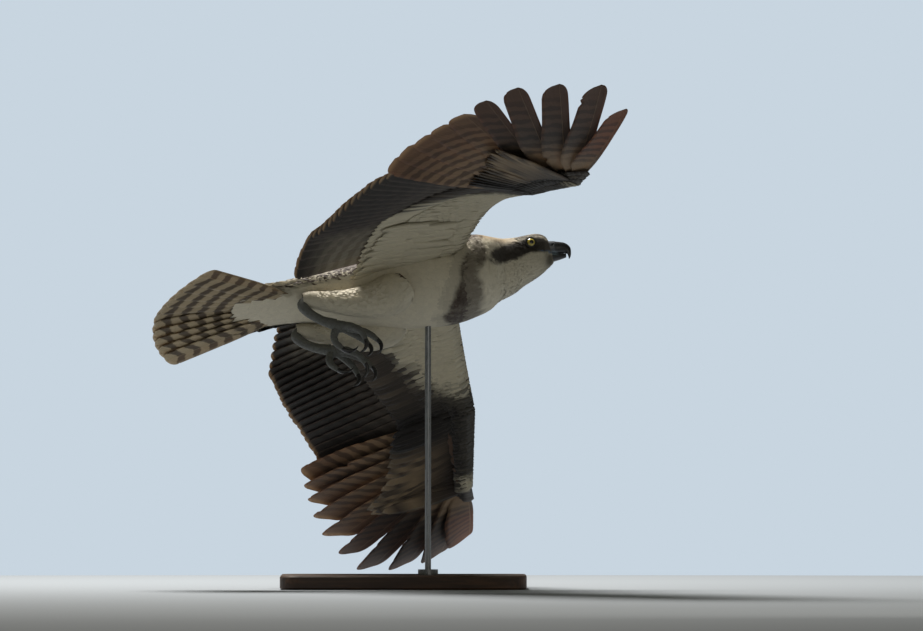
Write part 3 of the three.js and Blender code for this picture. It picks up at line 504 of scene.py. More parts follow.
def body_marking(points, normals):
    """Linear colour for places on the body, in the bird's own frame."""
    x = points[..., 0]
    up = normals[..., 2]
    head = bird_to_head(points)
    hx, hy, hz = head[..., 0], np.abs(head[..., 1]), head[..., 2]
    soft = waves(points, 30, 3)
    fine = waves(points, 7, 5)
    colour = np.broadcast_to(WHITE, points.shape).copy()
    back = smooth(0.12, 0.4, up + 0.1 * soft) * smooth(70, 30, x)
    colour = mix(colour, BROWN, back)
    z = points[..., 2]
    band_mid = np.interp(z, [-54, -45, -28, -8, 20], [-18, -9, -8, 5, 13])
    band_half = np.interp(z, [-54, -45, -28, -8, 20, 30], [23, 21, 15, 15, 9, 4])
    band = smooth(band_half + 4, band_half - 4, np.abs(x - band_mid + 4 * soft)) * (1 - back)
    streak = smooth(-0.8, 0.2, fine + 0.35 * soft)
    colour = mix(colour, BROWN * 0.7, band * (0.84 + 0.15 * streak))
    stripe_mid = np.interp(hx, [-60, -48, -35, -13, 0, 12, 26], [-22, -17, -9, -1, 6, 6.5, 7])
    stripe_half = np.interp(hx, [-60, -48, -35, -13, 0, 12, 26], [6, 11, 12, 11, 10, 9, 7])
    stripe = smooth(stripe_half + 2.0, stripe_half - 1.5, np.abs(hz - stripe_mid) + 1.2 * fine)
    stripe = stripe * smooth(3, 9, hy) * smooth(-62, -50, hx + 5 * fine)
    crown = smooth(12, 15, hz) * smooth(30, 24, hx) * smooth(-24, -14, hx + 3 * fine)
    nape = smooth(-14, -26, hx) * smooth(2, 12, hz) * smooth(-76, -60, hx)
    colour = mix(colour, CREAM, 0.8 * nape * (1 - smooth(0.5, 1.1, fine)))
    colour = mix(colour, BROWN * 0.85, 0.85 * crown * smooth(-0.7, 0.1, fine))
    lores = smooth(6, 14, hx)
    colour = mix(colour, mix(np.broadcast_to(DARK, points.shape), GREY * 0.5, 0.7 * lores),
                 stripe * 0.96)
    chin = smooth(16, 25, hx) * smooth(2, -6, hz) * smooth(-24, -14, hz)
    colour = mix(colour, DARK * 1.4, 0.8 * chin)
    return colour


print("white is", WHITE.round(2))

# %% [markdown]
# ## A feather as a thin closed leaf
# One small feather is a strip that widens from its root and rounds off at the tip,
# higher along the shaft than at its edges and closed underneath. Thousands are made at
# once from arrays, because one object per feather would be far too slow.

# %% Leaf arrays
def leaf_faces(rows, across):
    """Triangles of one leaf: a ridged top, a plain underside, and a point at the tip."""
    faces = []
    tip = rows * across
    for k in range(rows - 1):
        for m in range(across - 1):
            a, b = k * across + m, k * across + m + 1
            c, d = b + across, a + across
            faces += [(a, b, c), (a, c, d)]
        a, b = k * across, k * across + across - 1
        faces += [(a, b + across, b), (a, a + across, b + across)]
    last = (rows - 1) * across
    for m in range(across - 1):
        faces.append((last + m, last + m + 1, tip))
    faces.append((last + across - 1, last, tip))
    for m in range(1, across - 1):
        faces.append((0, m + 1, m))
    return np.array(faces)


def leaves(centre, along, up, half, tip, crown=0.08, across=3):
    """Points, faces and vane places for many leaves at once.
    centre, along and up hold a point or direction per feather and row, half the half
    width there, and tip the last point of each feather."""
    count, rows = half.shape
    lateral = unit(np.cross(along, up))
    share = np.linspace(-1, 1, across)
    rise = (1 - share ** 2) * crown
    body = (centre[:, :, None] + lateral[:, :, None] * (half[..., None] * share)[..., None]
            + up[:, :, None] * (half[..., None] * rise)[..., None])
    points = np.concatenate([body.reshape(count, rows * across, 3), tip[:, None]], 1)
    base = leaf_faces(rows, across)
    step = rows * across + 1
    faces = (base[None] + step * np.arange(count)[:, None, None]).reshape(-1, 3)
    return points, faces, share


def vane_places(rows_at, share, count):
    grid = np.stack(np.meshgrid(rows_at, share, indexing="ij"), -1).reshape(-1, 2)
    one = np.concatenate([grid, [[1.0, 0.0]]])
    return np.broadcast_to(one, (count, *one.shape))


PATCH = 0.003                    # width of a feather's patch, as a share of the unwrap


def bake_patches(root_place, vane):
    """Each feather's points as a small patch at its root's place on the unwrap."""
    return root_place[:, None] + (vane - [0.5, 0.0]) * [PATCH, PATCH / 2]


print("triangles in one small feather:", len(leaf_faces(4, 3)))

# %% [markdown]
# ## Small feathers of the trunk, neck and head
# They start at the skin and lie back towards the tail, each over the root of the next,
# with their tips on the outside of the coat. They are long and loose on the rump and
# belly, shorter on the neck and tiny on the face, and keep clear of eye, bill and gape.

# %% Scatter roots over the body
CLOSER = 0.8                     # roots stand closer around the body than along it


def scatter_body(low, high, spacing):
    """Jittered rows of roots from ring low to ring high, at a spacing in millimetres."""
    places = []
    r = float(low)
    row = 0
    while r < high:
        line = int(r)
        round_length = AROUND[line].sum()
        count = max(6, int(round_length / (spacing(r) * CLOSER)))
        measure = np.concatenate([[0], np.cumsum(AROUND[line])])
        targets = (np.arange(count) + 0.5 * (row % 2)) / count * measure[-1]
        a = np.interp(targets, measure, np.arange(ROUND + 1))
        jitter = rng.uniform(-0.3, 0.3, (count, 2))
        step = STEP[line].mean()
        places.append(np.stack([r + jitter[:, 0] * spacing(r) / step,
                                a + jitter[:, 1] * spacing(r) / AROUND[line].mean()], -1))
        r += spacing(r) / step
        row += 1
    return np.concatenate(places)


def grow_coat(places, length, width, rows_at, widths, lift, loose):
    """Leaves over the body. length, width and lift are arrays, one for each place."""
    r0, a0 = places[:, 0], places[:, 1]
    t = np.asarray(rows_at)
    all_t = np.append(t, 1.0)
    step = read_grid(STEP, r0, a0)
    round_step = read_grid(AROUND, r0, a0)
    yaw = rng.normal(0, loose, len(r0))
    r = r0[:, None] - all_t * (length / step)[:, None] * np.cos(yaw)[:, None]
    a = a0[:, None] + all_t * (length * np.sin(yaw) / round_step)[:, None]
    at = read_grid(OUTSIDE, r, a)
    up = read_grid(NORMALS, r, a)
    depth = read_grid(DEPTHS, r0, a0)[:, None]
    rise = np.sin(np.pi / 2 * np.clip(all_t * 1.15, 0, 1))
    wave = rng.normal(0, 0.15, len(r0))[:, None] * all_t
    offset = -depth * (1 - rise) - lift[:, None] * (1 - 0.75 * all_t) + wave * lift[:, None]
    offset = np.minimum(offset, 0.0)
    at = at + up * offset[..., None]
    along = unit(np.gradient(at, axis=1))
    half = width[:, None] / 2 * np.asarray(widths)
    tip = at[:, -1]
    points, faces, share = leaves(at[:, :-1], along[:, :-1], up[:, :-1], half, tip)
    vane = vane_places(rows_at, share, len(r0))
    root = np.stack([0.02 + 0.96 * np.clip(r0, 0, RINGS) / RINGS,
                     0.02 + 0.96 * np.mod(a0, ROUND) / ROUND], -1)
    surface = np.concatenate([np.repeat(up[:, :-1], 3, axis=1), up[:, -1:]], 1)
    return points, faces, vane, bake_patches(root, vane), at[:, 0], up[:, 0], surface


SOFTENED = 0.75                  # share of the surface in the shading of a small feather


def soften(obj, surface):
    """Shade leaves more by the surface they lie on than by their own small bends."""
    mesh = obj.data
    own = np.empty(len(mesh.vertices) * 3, np.float32)
    mesh.vertices.foreach_get("normal", own)
    own = own.reshape(-1, 3)
    wanted = surface.reshape(-1, 3) @ BIRD_TURN.T
    own = own * np.where(np.sum(own * wanted, -1, keepdims=True) < 0, -1, 1)
    mesh.normals_split_custom_set_from_vertices(unit(lerp(own, wanted, SOFTENED)).tolist())


def add_piece_of_leaves(name, parts, tints, material, surface):
    points, faces, vane, patch = parts
    vary = rng.uniform(0, 1, len(points))
    rgba = np.concatenate([tints, np.broadcast_to(vary[:, None, None], (*tints.shape[:2], 1))], -1)
    obj = piece(name, points.reshape(-1, 3), faces, material, rgba.reshape(-1, 4),
                vane.reshape(-1, 2), patch.reshape(-1, 2))
    soften(obj, surface)


print("coat helpers ready")

# %% Coat of trunk and rump
LEAF_ROWS = [0.0, 0.4, 0.76, 0.94]
LEAF_WIDTHS = [0.35, 0.95, 1.0, 0.6]
HEAD_RING = 72 + 11 + 1          # where the rings of the head's own frame begin


def covered_by_wing(points):
    """True where the arm grows out of the trunk, so that no feather pokes into it."""
    y, x, z = np.abs(points[:, 1]), points[:, 0], points[:, 2]
    return (x > -118) & (x < 8) & (z > 3) & (z < 36) & (y > 48)


trunk_at = scatter_body(14, HEAD_RING + 4, lambda r: np.interp(
    r, [0, 20, 60, 84], [5.6, 5.0, 4.6, 3.8]))
trunk_root = read_grid(OUTSIDE, trunk_at[:, 0], trunk_at[:, 1])
trunk_at = trunk_at[~covered_by_wing(trunk_root)]
r0 = trunk_at[:, 0]
belly = smooth(0.1, -0.5, read_grid(NORMALS, r0, trunk_at[:, 1])[:, 2])
length = np.interp(r0, [14, 30, 60, 88], [34, 30, 26, 15]) * rng.uniform(0.85, 1.15, len(r0))
width = length * 0.5
parts = grow_coat(trunk_at, length, width, LEAF_ROWS, LEAF_WIDTHS,
                  lift=0.15 + 0.3 * belly, loose=0.08)
tints = body_marking(parts[0], np.broadcast_to(parts[5][:, None], parts[0].shape))
root_tint = body_marking(parts[4], parts[5])
tints = mix(tints, root_tint[:, None], np.full(tints.shape[:2], 0.25))
tints = tints * rng.uniform(0.95, 1.03, len(r0))[:, None, None]
for name, some in (("coat_rump_belly", r0 < 45), ("coat_breast_back", r0 >= 45)):
    keep = np.where(some)[0]
    chosen = [p[keep] for p in (parts[0], parts[2], parts[3])]
    faces = (leaf_faces(4, 3)[None] + 13 * np.arange(len(keep))[:, None, None]).reshape(-1, 3)
    add_piece_of_leaves(name, (chosen[0], faces, *chosen[1:]), tints[keep], coat_mat,
                        parts[6][keep])
    print(name, len(keep), "feathers", len(faces), "triangles")

# %% Coat of neck and head
def face_mask(points):
    """True where small feathers may grow on the head: clear of eye, bill and gape."""
    q = bird_to_head(points)
    x, y, z = q[:, 0], np.abs(q[:, 1]), q[:, 2]
    eye = np.hypot(x - 0.6, z - 9.2) < 7.4
    bill = (x > 21.5) & (z > -1.5) & (z < 17.2)
    gape = (x > 9) & (np.abs(z + 0.3) < 1.1)
    under_bill = (x > 24.5) & (z > -9)
    return ~(eye | bill | gape | under_bill | (x > 30))


head_at = scatter_body(HEAD_RING + 2, RINGS - 6, lambda r: np.interp(
    r, [84, 100, 118, 140], [3.4, 2.5, 1.9, 1.5]))
head_root = read_grid(OUTSIDE, head_at[:, 0], head_at[:, 1])
head_at = head_at[face_mask(head_root)]
r0 = head_at[:, 0]
length = np.interp(r0, [84, 100, 118, 140], [16, 11, 7, 4.5]) * rng.uniform(0.85, 1.15, len(r0))
q = bird_to_head(read_grid(OUTSIDE, r0, head_at[:, 1]))
near_eye = np.hypot(q[:, 0] - 2, q[:, 2] - 9.2) < 14
length = np.where(near_eye, length * 0.62, length)
parts = grow_coat(head_at, length, length * 0.36, LEAF_ROWS[::2], [0.6, 1.0],
                  lift=np.interp(r0, [84, 140], [0.3, 0.15]), loose=0.1)
tints = body_marking(parts[0], np.broadcast_to(parts[5][:, None], parts[0].shape))
root_tint = body_marking(parts[4], parts[5])
tints = mix(tints, root_tint[:, None], np.full(tints.shape[:2], 0.35))
tints = tints * rng.uniform(0.95, 1.03, len(r0))[:, None, None]
add_piece_of_leaves("coat_head", parts[:4], tints, coat_mat, parts[6])
print("coat_head", len(r0), "feathers", len(parts[1]), "triangles")

# %% [markdown]
# ## Wings: where every feather grows
# The edge of the wing is an arched arm and a straight hand. Each flight feather has a
# place along that edge, an angle in the plane of the wing and a lift out of it, and the
# feathers in between follow by steps. Both wings use the same rules with their own
# angles, because in the banked turn the near wing is pressed further down.

# %% Wing measures
ARM, HAND, ARCH, SHOULDER = 270.0, 130.0, 26.0, np.array([0.0, 50.0, 20.0])
PRIMARIES = [305, 374, 392, 384, 343, 303, 278, 262, 252, 245]
WINGS = {
    "left": dict(side=1, trim=0.92, reach=0.975, broad=1.75, fuller=1.3, outermost=(6, -8, -8),
                 arm=(7.7, -13.4, -9.3), hand=(-2.8, -24.6, -9.4), fan=(80, 71, 57.2, -11),
                 lift=(-9.8, 10.6, 36)),
    "right": dict(side=-1, trim=1.0, reach=1.0, broad=1.15, fuller=1.1, outermost=(-14, 10, 0),
                  arm=(13.3, -14.3, -0.7), hand=(11.5, -26.3, -17), fan=(92.3, 78.1, 68.1, 9.5),
                  lift=(-10.1, 0, 9.5)),
}
ROOT_LINE = [(0, 96), (0.4, 92), (1, 18), (2, 9)]
BLADE = np.array([(-0.16, 122, 34, 11), (0, 126, 28, 10), (0.2, 124, 21, 9), (0.42, 114, 18, 9),
                  (0.7, 84, 16, 9), (0.9, 56, 14, 8.5), (1.0, 47, 13, 8.5), (1.12, 44, 12, 8),
                  (1.4, 40, 10.5, 7.5), (1.7, 34, 9, 7), (1.93, 26, 7.5, 6), (2.04, 14, 5, 4)])
BLADE_PLACES = np.array([(0, 0.1, 0), (0.05, 0.36, 0), (0.2, 0.5, 0), (0.5, 0.34, 0.18),
                         (0.8, 0.1, 0.4), (1, 0, 0.42)])


def arm_axis(sweep, rise):
    s, r = np.radians([sweep, rise])
    return np.array([np.sin(s) * np.cos(r), np.cos(s) * np.cos(r), np.sin(r)])


def edge_point(wing, s):
    s = np.atleast_1d(s)[:, None]
    arm = SHOULDER + arm_axis(*wing["arm"][:2]) * ARM * s
    arm = arm + np.array([0, 0, ARCH]) * np.sin(np.pi * np.minimum(s, 1))
    wrist = SHOULDER + arm_axis(*wing["arm"][:2]) * ARM
    hand = wrist + arm_axis(*wing["hand"][:2]) * HAND * (s - 1)
    return np.where(s > 1, hand, arm)


def wing_axes(wing, s, bend):
    s = np.atleast_1d(s)
    at = np.minimum(s, 1)
    along = unit(edge_point(wing, at) - edge_point(wing, at - 0.02))
    t = smooth(1 - bend, 1 + bend, s)[:, None]
    y = unit(lerp(along, arm_axis(*wing["hand"][:2]), t))
    sweep = np.arctan2(y[:, 0], y[:, 1])
    level = np.stack([np.cos(sweep), -np.sin(sweep), 0 * sweep], -1)
    up = np.cross(level, y)
    twist = np.radians(lerp(wing["arm"][2], wing["hand"][2], smooth(0.3, 1.5, s)))[:, None]
    x = level * np.cos(twist) + up * np.sin(twist)
    return x, y, np.cross(x, y)


print("arm", ARM, "hand", HAND)

# %% Rules for the flight feathers as one run of numbers
def feather_rules(wing):
    """Place, fan, lift, length and curve for the solids' 26 feathers, outermost first.
    Two more rows, where no big feather grows, guide the coverts next to the body."""
    rows = []
    body_fan, elbow_fan, wrist_fan, tip_fan = wing["fan"]
    body_lift, wrist_lift, tip_lift = wing["lift"]
    for i, length in enumerate(PRIMARIES):
        k = 1 - i / 9
        longer = length * wing["reach"] + (wing["outermost"][i] if i < 3 else 0)
        rows.append((1.06 + 0.92 * k, lerp(wrist_fan, tip_fan, k ** 1.1),
                     lerp(wrist_lift, tip_lift, k), longer, 0.02 + 0.05 * k, 0.03))
    for j in range(12):
        t = j / 11
        s = 0.97 - 0.57 * t
        inward = (1 - s) / 0.6
        rows.append((s, lerp(wrist_fan, elbow_fan, 1 - (1 - inward) ** 2),
                     lerp(wrist_lift, body_lift, smooth(0, 1, inward)),
                     lerp(218, 190 * wing["trim"], t), 0.02 * (1 - t), 0.03 * (1 - t)))
    for j in range(4):
        t = j / 3
        rows.append((0.35 - 0.25 * t, lerp(elbow_fan, body_fan, (t + 0.2) / 1.2), body_lift,
                     lerp(185, 163, t) * wing["trim"], 0, 0))
    for s in (0.0, -0.12):
        rows.append((s, body_fan, body_lift, 150 * wing["trim"], 0, 0))
    return np.array(rows, float)


def shafts_at(wing, index):
    """Shafts of feathers at places between the rules' own, as arrays."""
    rules = feather_rules(wing)
    index = np.atleast_1d(np.asarray(index, float))
    s, fan, lift, length, curve_up, curve_aside = (
        np.interp(index, np.arange(len(rules)), rules[:, k]) for k in range(6))
    bx, _, bz = wing_axes(wing, s, 0.15)
    x, y, z = wing_axes(wing, s, 0.35)
    a, l = np.radians(fan)[:, None], np.radians(lift)[:, None]
    flat = y * np.cos(a) - x * np.sin(a)
    aside = -y * np.sin(a) - x * np.cos(a)
    back = table(ROOT_LINE, s)
    edge = edge_point(wing, s)
    return dict(s=s, length=length, edge=edge, back=back, root=edge - bx * back[:, None],
                along=flat * np.cos(l) + z * np.sin(l), blade_x=bx, blade_z=bz, up=z,
                bend=z * curve_up[:, None] + aside * curve_aside[:, None])


def shaft_point(shafts, distance):
    """Points at distances from the roots: distance has one row for each shaft."""
    t = distance / shafts["length"][:, None]
    return (shafts["root"][:, None] + shafts["along"][:, None] * distance[..., None]
            + shafts["bend"][:, None] * (shafts["length"][:, None] * t * t)[..., None])


def vane_axes(wing, index, distance, tilt):
    """Centre, shaft direction, leading-edge direction and normal at points of feathers."""
    here = shafts_at(wing, index)
    gap = 0.5
    outer = shafts_at(wing, np.clip(np.asarray(index) - gap, 0, 25))
    inner = shafts_at(wing, np.clip(np.asarray(index) + gap, 0, 25))
    centre = shaft_point(here, distance)
    t = unit(shaft_point(here, distance + 1) - shaft_point(here, distance - 1))
    across = shaft_point(outer, distance) - shaft_point(inner, distance)
    level = unit(across - t * np.sum(across * t, -1, keepdims=True))
    up = np.cross(level, t)
    up = np.where(np.sum(up * here["up"][:, None], -1, keepdims=True) < 0, -up, up)
    tip = np.radians(tilt)
    return centre, t, level * np.cos(tip) + up * np.sin(tip), up * np.cos(tip) - level * np.sin(tip)


for side_name, wing in WINGS.items():
    print(side_name, "wing: tip of the second feather", np.round(
        shaft_point(shafts_at(wing, [1]), np.array([[374.0]]))[0, 0]))

# %% [markdown]
# ## Flight feathers
# The big feathers give the wing its outline: ten stiff fingers on the hand, narrowed
# towards their tips on the outermost five, and a row of rounder ones on the arm. Each is
# a thin closed vane with a raised shaft. The edge is nicked here and there, where the
# barbs have parted, and wears thinner towards the tip.

# %% Vane outlines
VANES = {
    "finger": dict(front=[(0, 2), (0.1, 4), (0.3, 9), (0.5, 9), (0.64, 8), (0.9, 9), (1, 8)],
                   back=[(0, 2), (0.1, 6), (0.3, 27), (0.5, 28), (0.64, 23), (0.9, 21), (1, 17)]),
    "hand": dict(front=[(0, 2), (0.12, 6), (0.35, 15), (0.9, 16), (1, 14)],
                 back=[(0, 2), (0.12, 8), (0.35, 27), (0.9, 26), (1, 22)]),
    "arm": dict(front=[(0, 2), (0.12, 8), (0.35, 15), (0.93, 15), (1, 13)],
                back=[(0, 2), (0.12, 10), (0.35, 26), (0.93, 26), (1, 20)]),
    "tail": dict(front=[(0, 2), (0.2, 9), (0.5, 17), (0.95, 20), (1, 18)],
                 back=[(0, 2), (0.2, 9), (0.5, 20), (0.95, 22), (1, 19)]),
}


def outline(kind, edge, t, blunt):
    width = table(VANES[kind][edge], t)
    for _ in range(6):
        width[1:-1] = (width[:-2] + 2 * width[1:-1] + width[2:]) / 4
    tip = np.clip((t - (1 - blunt)) / blunt, 0, 1)
    return width * np.sqrt(np.clip(1 - tip ** 2.4, 0.0, 1)) + 0.15


def nicks(t, count):
    """Small notches in an edge: 1 on the whole, less where barbs have parted."""
    cut = np.ones_like(t)
    for _ in range(count):
        at, deep, wide = rng.uniform(0.3, 0.97), rng.uniform(0.03, 0.14), rng.uniform(0.004, 0.009)
        cut -= deep * np.clip(1 - np.abs(t - at) / wide, 0, 1)
    return cut


ACROSS = np.array([-1, -0.8, -0.55, -0.3, -0.07, 0, 0.09, 0.35, 0.65, 1.0])


def vane_solid(centre, lead, normal, front, back, thick_root, thick_tip, camber, t):
    """One closed vane: a grid above, the same below, and a rim that joins the two."""
    rows, cols = len(t), len(ACROSS)
    width = np.where(ACROSS < 0, back[:, None], front[:, None])
    aside = ACROSS * width
    ridge = np.exp(-(ACROSS / 0.06) ** 2)
    thick = 0.25 + lerp(thick_root, thick_tip, t)[:, None] * ridge * 0.5
    bow = -camber * (ACROSS ** 2) * width
    mid = centre[:, None] + lead[:, None] * aside[..., None] + normal[:, None] * bow[..., None]
    top = mid + normal[:, None] * thick[..., None]
    low = mid - normal[:, None] * thick[..., None] * 0.8
    points = np.concatenate([top.reshape(-1, 3), low.reshape(-1, 3)])
    upper = grid_faces(rows, cols)
    lower = upper[:, ::-1] + rows * cols
    rim = []
    n = rows * cols
    loop = ([(k, 0) for k in range(rows)] + [(rows - 1, m) for m in range(1, cols)]
            + [(k, cols - 1) for k in range(rows - 2, -1, -1)]
            + [(0, m) for m in range(cols - 2, 0, -1)])
    ids = [k * cols + m for k, m in loop]
    for a, b in zip(ids, ids[1:] + ids[:1]):
        rim.append((a, b, b + n, a + n))
    vane = np.stack(np.meshgrid(t, ACROSS, indexing="ij"), -1).reshape(-1, 2)
    return points, np.concatenate([upper, lower, rim]), np.tile(vane, (2, 1))


def join_vanes(name, made, material):
    """One piece from many vanes, each given as points, faces, places and colours."""
    points, faces, vanes, tints, patches = [], [], [], [], []
    start = 0
    for k, (p, f, v, colour) in enumerate(made):
        lower = np.repeat([0.02, 0.52], len(p) // 2)
        across = (k + 0.5 + 0.45 * v[:, 1]) / len(made)
        points.append(p)
        faces.append(f + start)
        vanes.append(v)
        tints.append(colour)
        patches.append(np.stack([across, lower + 0.46 * v[:, 0]], -1))
        start += len(p)
    joined = (np.concatenate(rows) for rows in (points, faces, tints, vanes, patches))
    points, faces, tints, vanes, patches = joined
    print(name, len(made), "feathers", 2 * len(faces), "triangles")
    return piece(name, points, faces, material, tints, vanes, patches)


print("outlines:", len(VANES))

# %% Colours of the flight feathers
PRIMARY_PALE = srgb(158, 130, 100)
PRIMARY_DARK = srgb(56, 45, 38)
SECONDARY_PALE = srgb(92, 82, 72)
SECONDARY_DARK = srgb(46, 41, 38)
OUTER_EDGE = 0.55                # share of the front width on the outermost primary
# Painted glow: orange put into the vanes where light shining through them would glow.
PAINTED_GLOW = srgb(190, 112, 62)
FRINGE = srgb(206, 170, 128)


def flight_colour(kind, along, across, under, rank):
    """Colour over a vane: paler towards the root, dark on the fingers, fringed at the tip,
    with an orange painted glow that stands for light shining through the thin vane.
    """
    if kind == "arm":
        near_body = 0.75 * smooth(19.0, 24.0, rank)
        base = mix(np.broadcast_to(SECONDARY_PALE, (*along.shape, 3)), SECONDARY_DARK,
                   0.15 + 0.75 * smooth(0.3, 0.75, along))
        colour = mix(base, srgb(176, 166, 146), near_body * smooth(0.95, 0.6, along))
        colour = mix(colour, FRINGE, 0.7 * smooth(0.965, 0.995, along + 0.02 * np.abs(across)))
    else:
        dark = smooth(0.28, 0.55, along) * 0.92 if rank < 5 else smooth(0.55, 0.9, along) * 0.55
        outer = smooth(-0.15, 0.3, across) * 0.45
        colour = mix(np.broadcast_to(PRIMARY_PALE, (*along.shape, 3)), PRIMARY_DARK,
                     np.clip(dark + outer * (1 - dark), 0, 1))
        # Painted glow of light through the vane, strong on the outermost primary and faint towards
        # the other tips.
        colour = mix(colour, PAINTED_GLOW, 0.42 * smooth(0.3, 0.6, along) if rank == 0 else
                     0.12 * smooth(0.4, 0.8, along))
        if rank >= 5:
            colour = mix(colour, FRINGE, 0.6 * smooth(0.95, 0.995, along + 0.02 * np.abs(across)))
    # Painted glow of light through the thin edges of the vanes.
    edge = smooth(0.8, 1.0, np.abs(across)) * smooth(0.3, 0.6, along)
    colour = mix(colour, PAINTED_GLOW, (0.05 if kind == "arm" else 0.18) * edge)
    shade = np.where(under, 1.0, 0.55)
    return colour * shade[..., None]


# %% Flight feathers of both wings
def flight_piece(name, wing, kind_of, indices, tilt, material):
    made = []
    t = np.concatenate([np.linspace(0, 0.9, 30), np.linspace(0.9, 1, 13)[1:]])
    for index in indices:
        kind = kind_of(index)
        slim = kind != "arm"
        shaft = shafts_at(wing, [index])
        reach = shaft["length"][0] * rng.uniform(0.988, 1.0)
        axes = (v[0] for v in vane_axes(wing, [index], t[None] * reach, tilt))
        centre, along, lead, normal = axes
        broad = 1 + (wing["broad"] - 1) * smooth(0.3, 0.75, t) if slim else 1
        fuller = (OUTER_EDGE if index == 0 else wing["fuller"]) if slim else 1
        blunt = 0.075 if kind == "finger" else 0.06
        front = outline(kind, "front", t, blunt) * fuller * nicks(t, 3)
        back = outline(kind, "back", t, blunt) * broad * nicks(t, 7)
        bow = 0.10 if slim else 0.07
        p, f, v = vane_solid(centre, lead, normal, front, back, 1.0, 0.5, bow, t)
        under = np.repeat([False, True], len(p) // 2)
        colour = flight_colour(kind, v[:, 0], v[:, 1], under, index)
        colour = colour * rng.uniform(0.92, 1.05)
        vary = np.full((len(p), 1), rng.uniform())
        if wing["side"] < 0:
            p, f = p * [1, -1, 1], f[:, ::-1]
        made.append((p, f, v, np.concatenate([colour, vary], -1)))
    return join_vanes(name, made, material)


wing_pieces = {}
for side_name, wing in WINGS.items():
    primaries = flight_piece(f"primaries_{side_name}", wing,
                             lambda i: "finger" if i < 5 else "hand", range(10), 9, primary_mat)
    secondaries = flight_piece(f"secondaries_{side_name}", wing, lambda i: "arm",
                               np.linspace(10, 25, 20), 7, secondary_mat)
    wing_pieces[side_name] = (primaries, secondaries)

# %% [markdown]
# ## Coverts of the wings
# Rows of smaller feathers cover the roots of the flight feathers on both faces: one
# greater covert to each big feather, a row of median coverts before it, and many small
# ones up to the leading edge. Below, they are white near the body, black at the wrist
# and dark along the greater row. Above, they are brown with pale rims.

# %% Places on the wing's two faces
def blade_half(s, q):
    """Half thickness of the arm and hand at a distance q behind the leading edge."""
    chord, full, rear = (np.interp(s, BLADE[:, 0], BLADE[:, k]) for k in (1, 2, 3))
    place = np.clip(q / chord, 0, 1)
    a = np.interp(place, BLADE_PLACES[:, 0], BLADE_PLACES[:, 1])
    b = np.interp(place, BLADE_PLACES[:, 0], BLADE_PLACES[:, 2])
    beyond = smooth(0, 70, q - chord)
    return full * a + rear * b - 0.8 * beyond


def covert_leaves(wing, face, index, start, length, width, rows_at, widths, tuck, across=3,
                  fan_out=0.0, extra=0.0):
    """Leaves on one face of a wing. index is the place along the run of feathers and
    start the distance behind the leading edge; tuck is how deep the root lies."""
    t = np.append(rows_at, 1.0)
    shaft = shafts_at(wing, index)
    back = shaft["back"][:, None]
    away = start[:, None] + length[:, None] * t
    q0 = start[:, None]
    near = shaft["edge"][:, None] - shaft["blade_x"][:, None] * np.minimum(q0, back)[..., None]
    weight = smooth(0.2, 1.0, q0 / back)[..., None]
    heading = unit(-shaft["blade_x"][:, None] * (1 - 0.35 - 0.65 * weight)
                   + shaft["along"][:, None] * (0.35 + 0.65 * weight))
    swing = rng.normal(0, fan_out, len(length))[:, None, None]
    heading = unit(heading + np.cross(heading, shaft["up"][:, None]) * swing)
    centre = near + heading * (length[:, None] * t)[..., None]
    on_vane = shaft_point(shaft, np.maximum(q0 - back, 0) + length[:, None] * t)
    centre = np.where((q0 >= back)[..., None], on_vane, centre)
    up = unit(lerp(shaft["blade_z"][:, None], shaft["up"][:, None], weight)) * face
    up = np.broadcast_to(up, centre.shape)
    s = np.broadcast_to(shaft["s"][:, None], away.shape)
    rise = np.sin(np.pi / 2 * np.clip(t * 1.2, 0, 1))
    half_thick = np.minimum(blade_half(s, away), blade_half(s, q0) + 1.5 + 0 * away)
    offset = half_thick - tuck[:, None] * (1 - rise) + extra * rise
    centre = centre + up * offset[..., None]
    along = unit(np.gradient(centre, axis=1))
    half = width[:, None] / 2 * np.asarray(widths)
    points, faces, share = leaves(centre[:, :-1], along[:, :-1], up[:, :-1], half, centre[:, -1],
                                  0.14, across)
    vane = vane_places(rows_at, share, len(index))
    root = np.stack([0.02 + 0.94 * np.asarray(index) / 25, 0.02 + 0.94 * start / 260], -1)
    return points, faces, vane, bake_patches(root, vane), shaft["s"], start


# %% Markings of the wing's faces
def covert_colour(s, q, tip_share, face, row, seed_noise, white_reach):
    """Colour of a covert by place: s along the wing, q behind its leading edge, with
    how far back the white lining reaches at five places along the wing."""
    shape = np.broadcast(s, tip_share).shape
    s, q = np.broadcast_to(s, shape), np.broadcast_to(q, shape)
    noise = np.broadcast_to(seed_noise, shape)
    if face > 0:
        colour = np.broadcast_to(BROWN * 0.9, (*shape, 3))
        return mix(colour, srgb(150, 126, 98), 0.4 * smooth(0.86, 1.0, tip_share))
    white = np.broadcast_to(srgb(218, 208, 182), (*shape, 3))
    reach = np.interp(s, [0, 0.25, 0.5, 0.8, 1.0], white_reach) + 10 * noise
    pale = smooth(14, -14, q + 24 * (tip_share - 0.5) - reach)
    dark = mix(np.broadcast_to(srgb(64, 56, 49), (*shape, 3)), srgb(112, 99, 82),
               0.5 * smooth(0.0, 0.8, noise) * smooth(0.4, 0.8, tip_share))
    spots = smooth(0.1, 0.6, np.sin(17 * tip_share + 5 * noise))
    buff = mix(np.broadcast_to(srgb(150, 128, 100), (*shape, 3)), srgb(54, 44, 38),
               np.maximum(smooth(0.5, 0.36, tip_share), 0.85 * spots))
    base = mix(mix(dark, white, pale), buff, smooth(1.15, 1.4, s) * (row == "greater"))
    carpal = smooth(0.8, 0.94, s + 0.05 * noise) * smooth(1.95, 1.75, s + 0.05 * noise)
    carpal = carpal * (1.0 if row != "greater" else smooth(1.25, 1.1, s))
    return mix(base, srgb(34, 30, 28), carpal * 0.93)


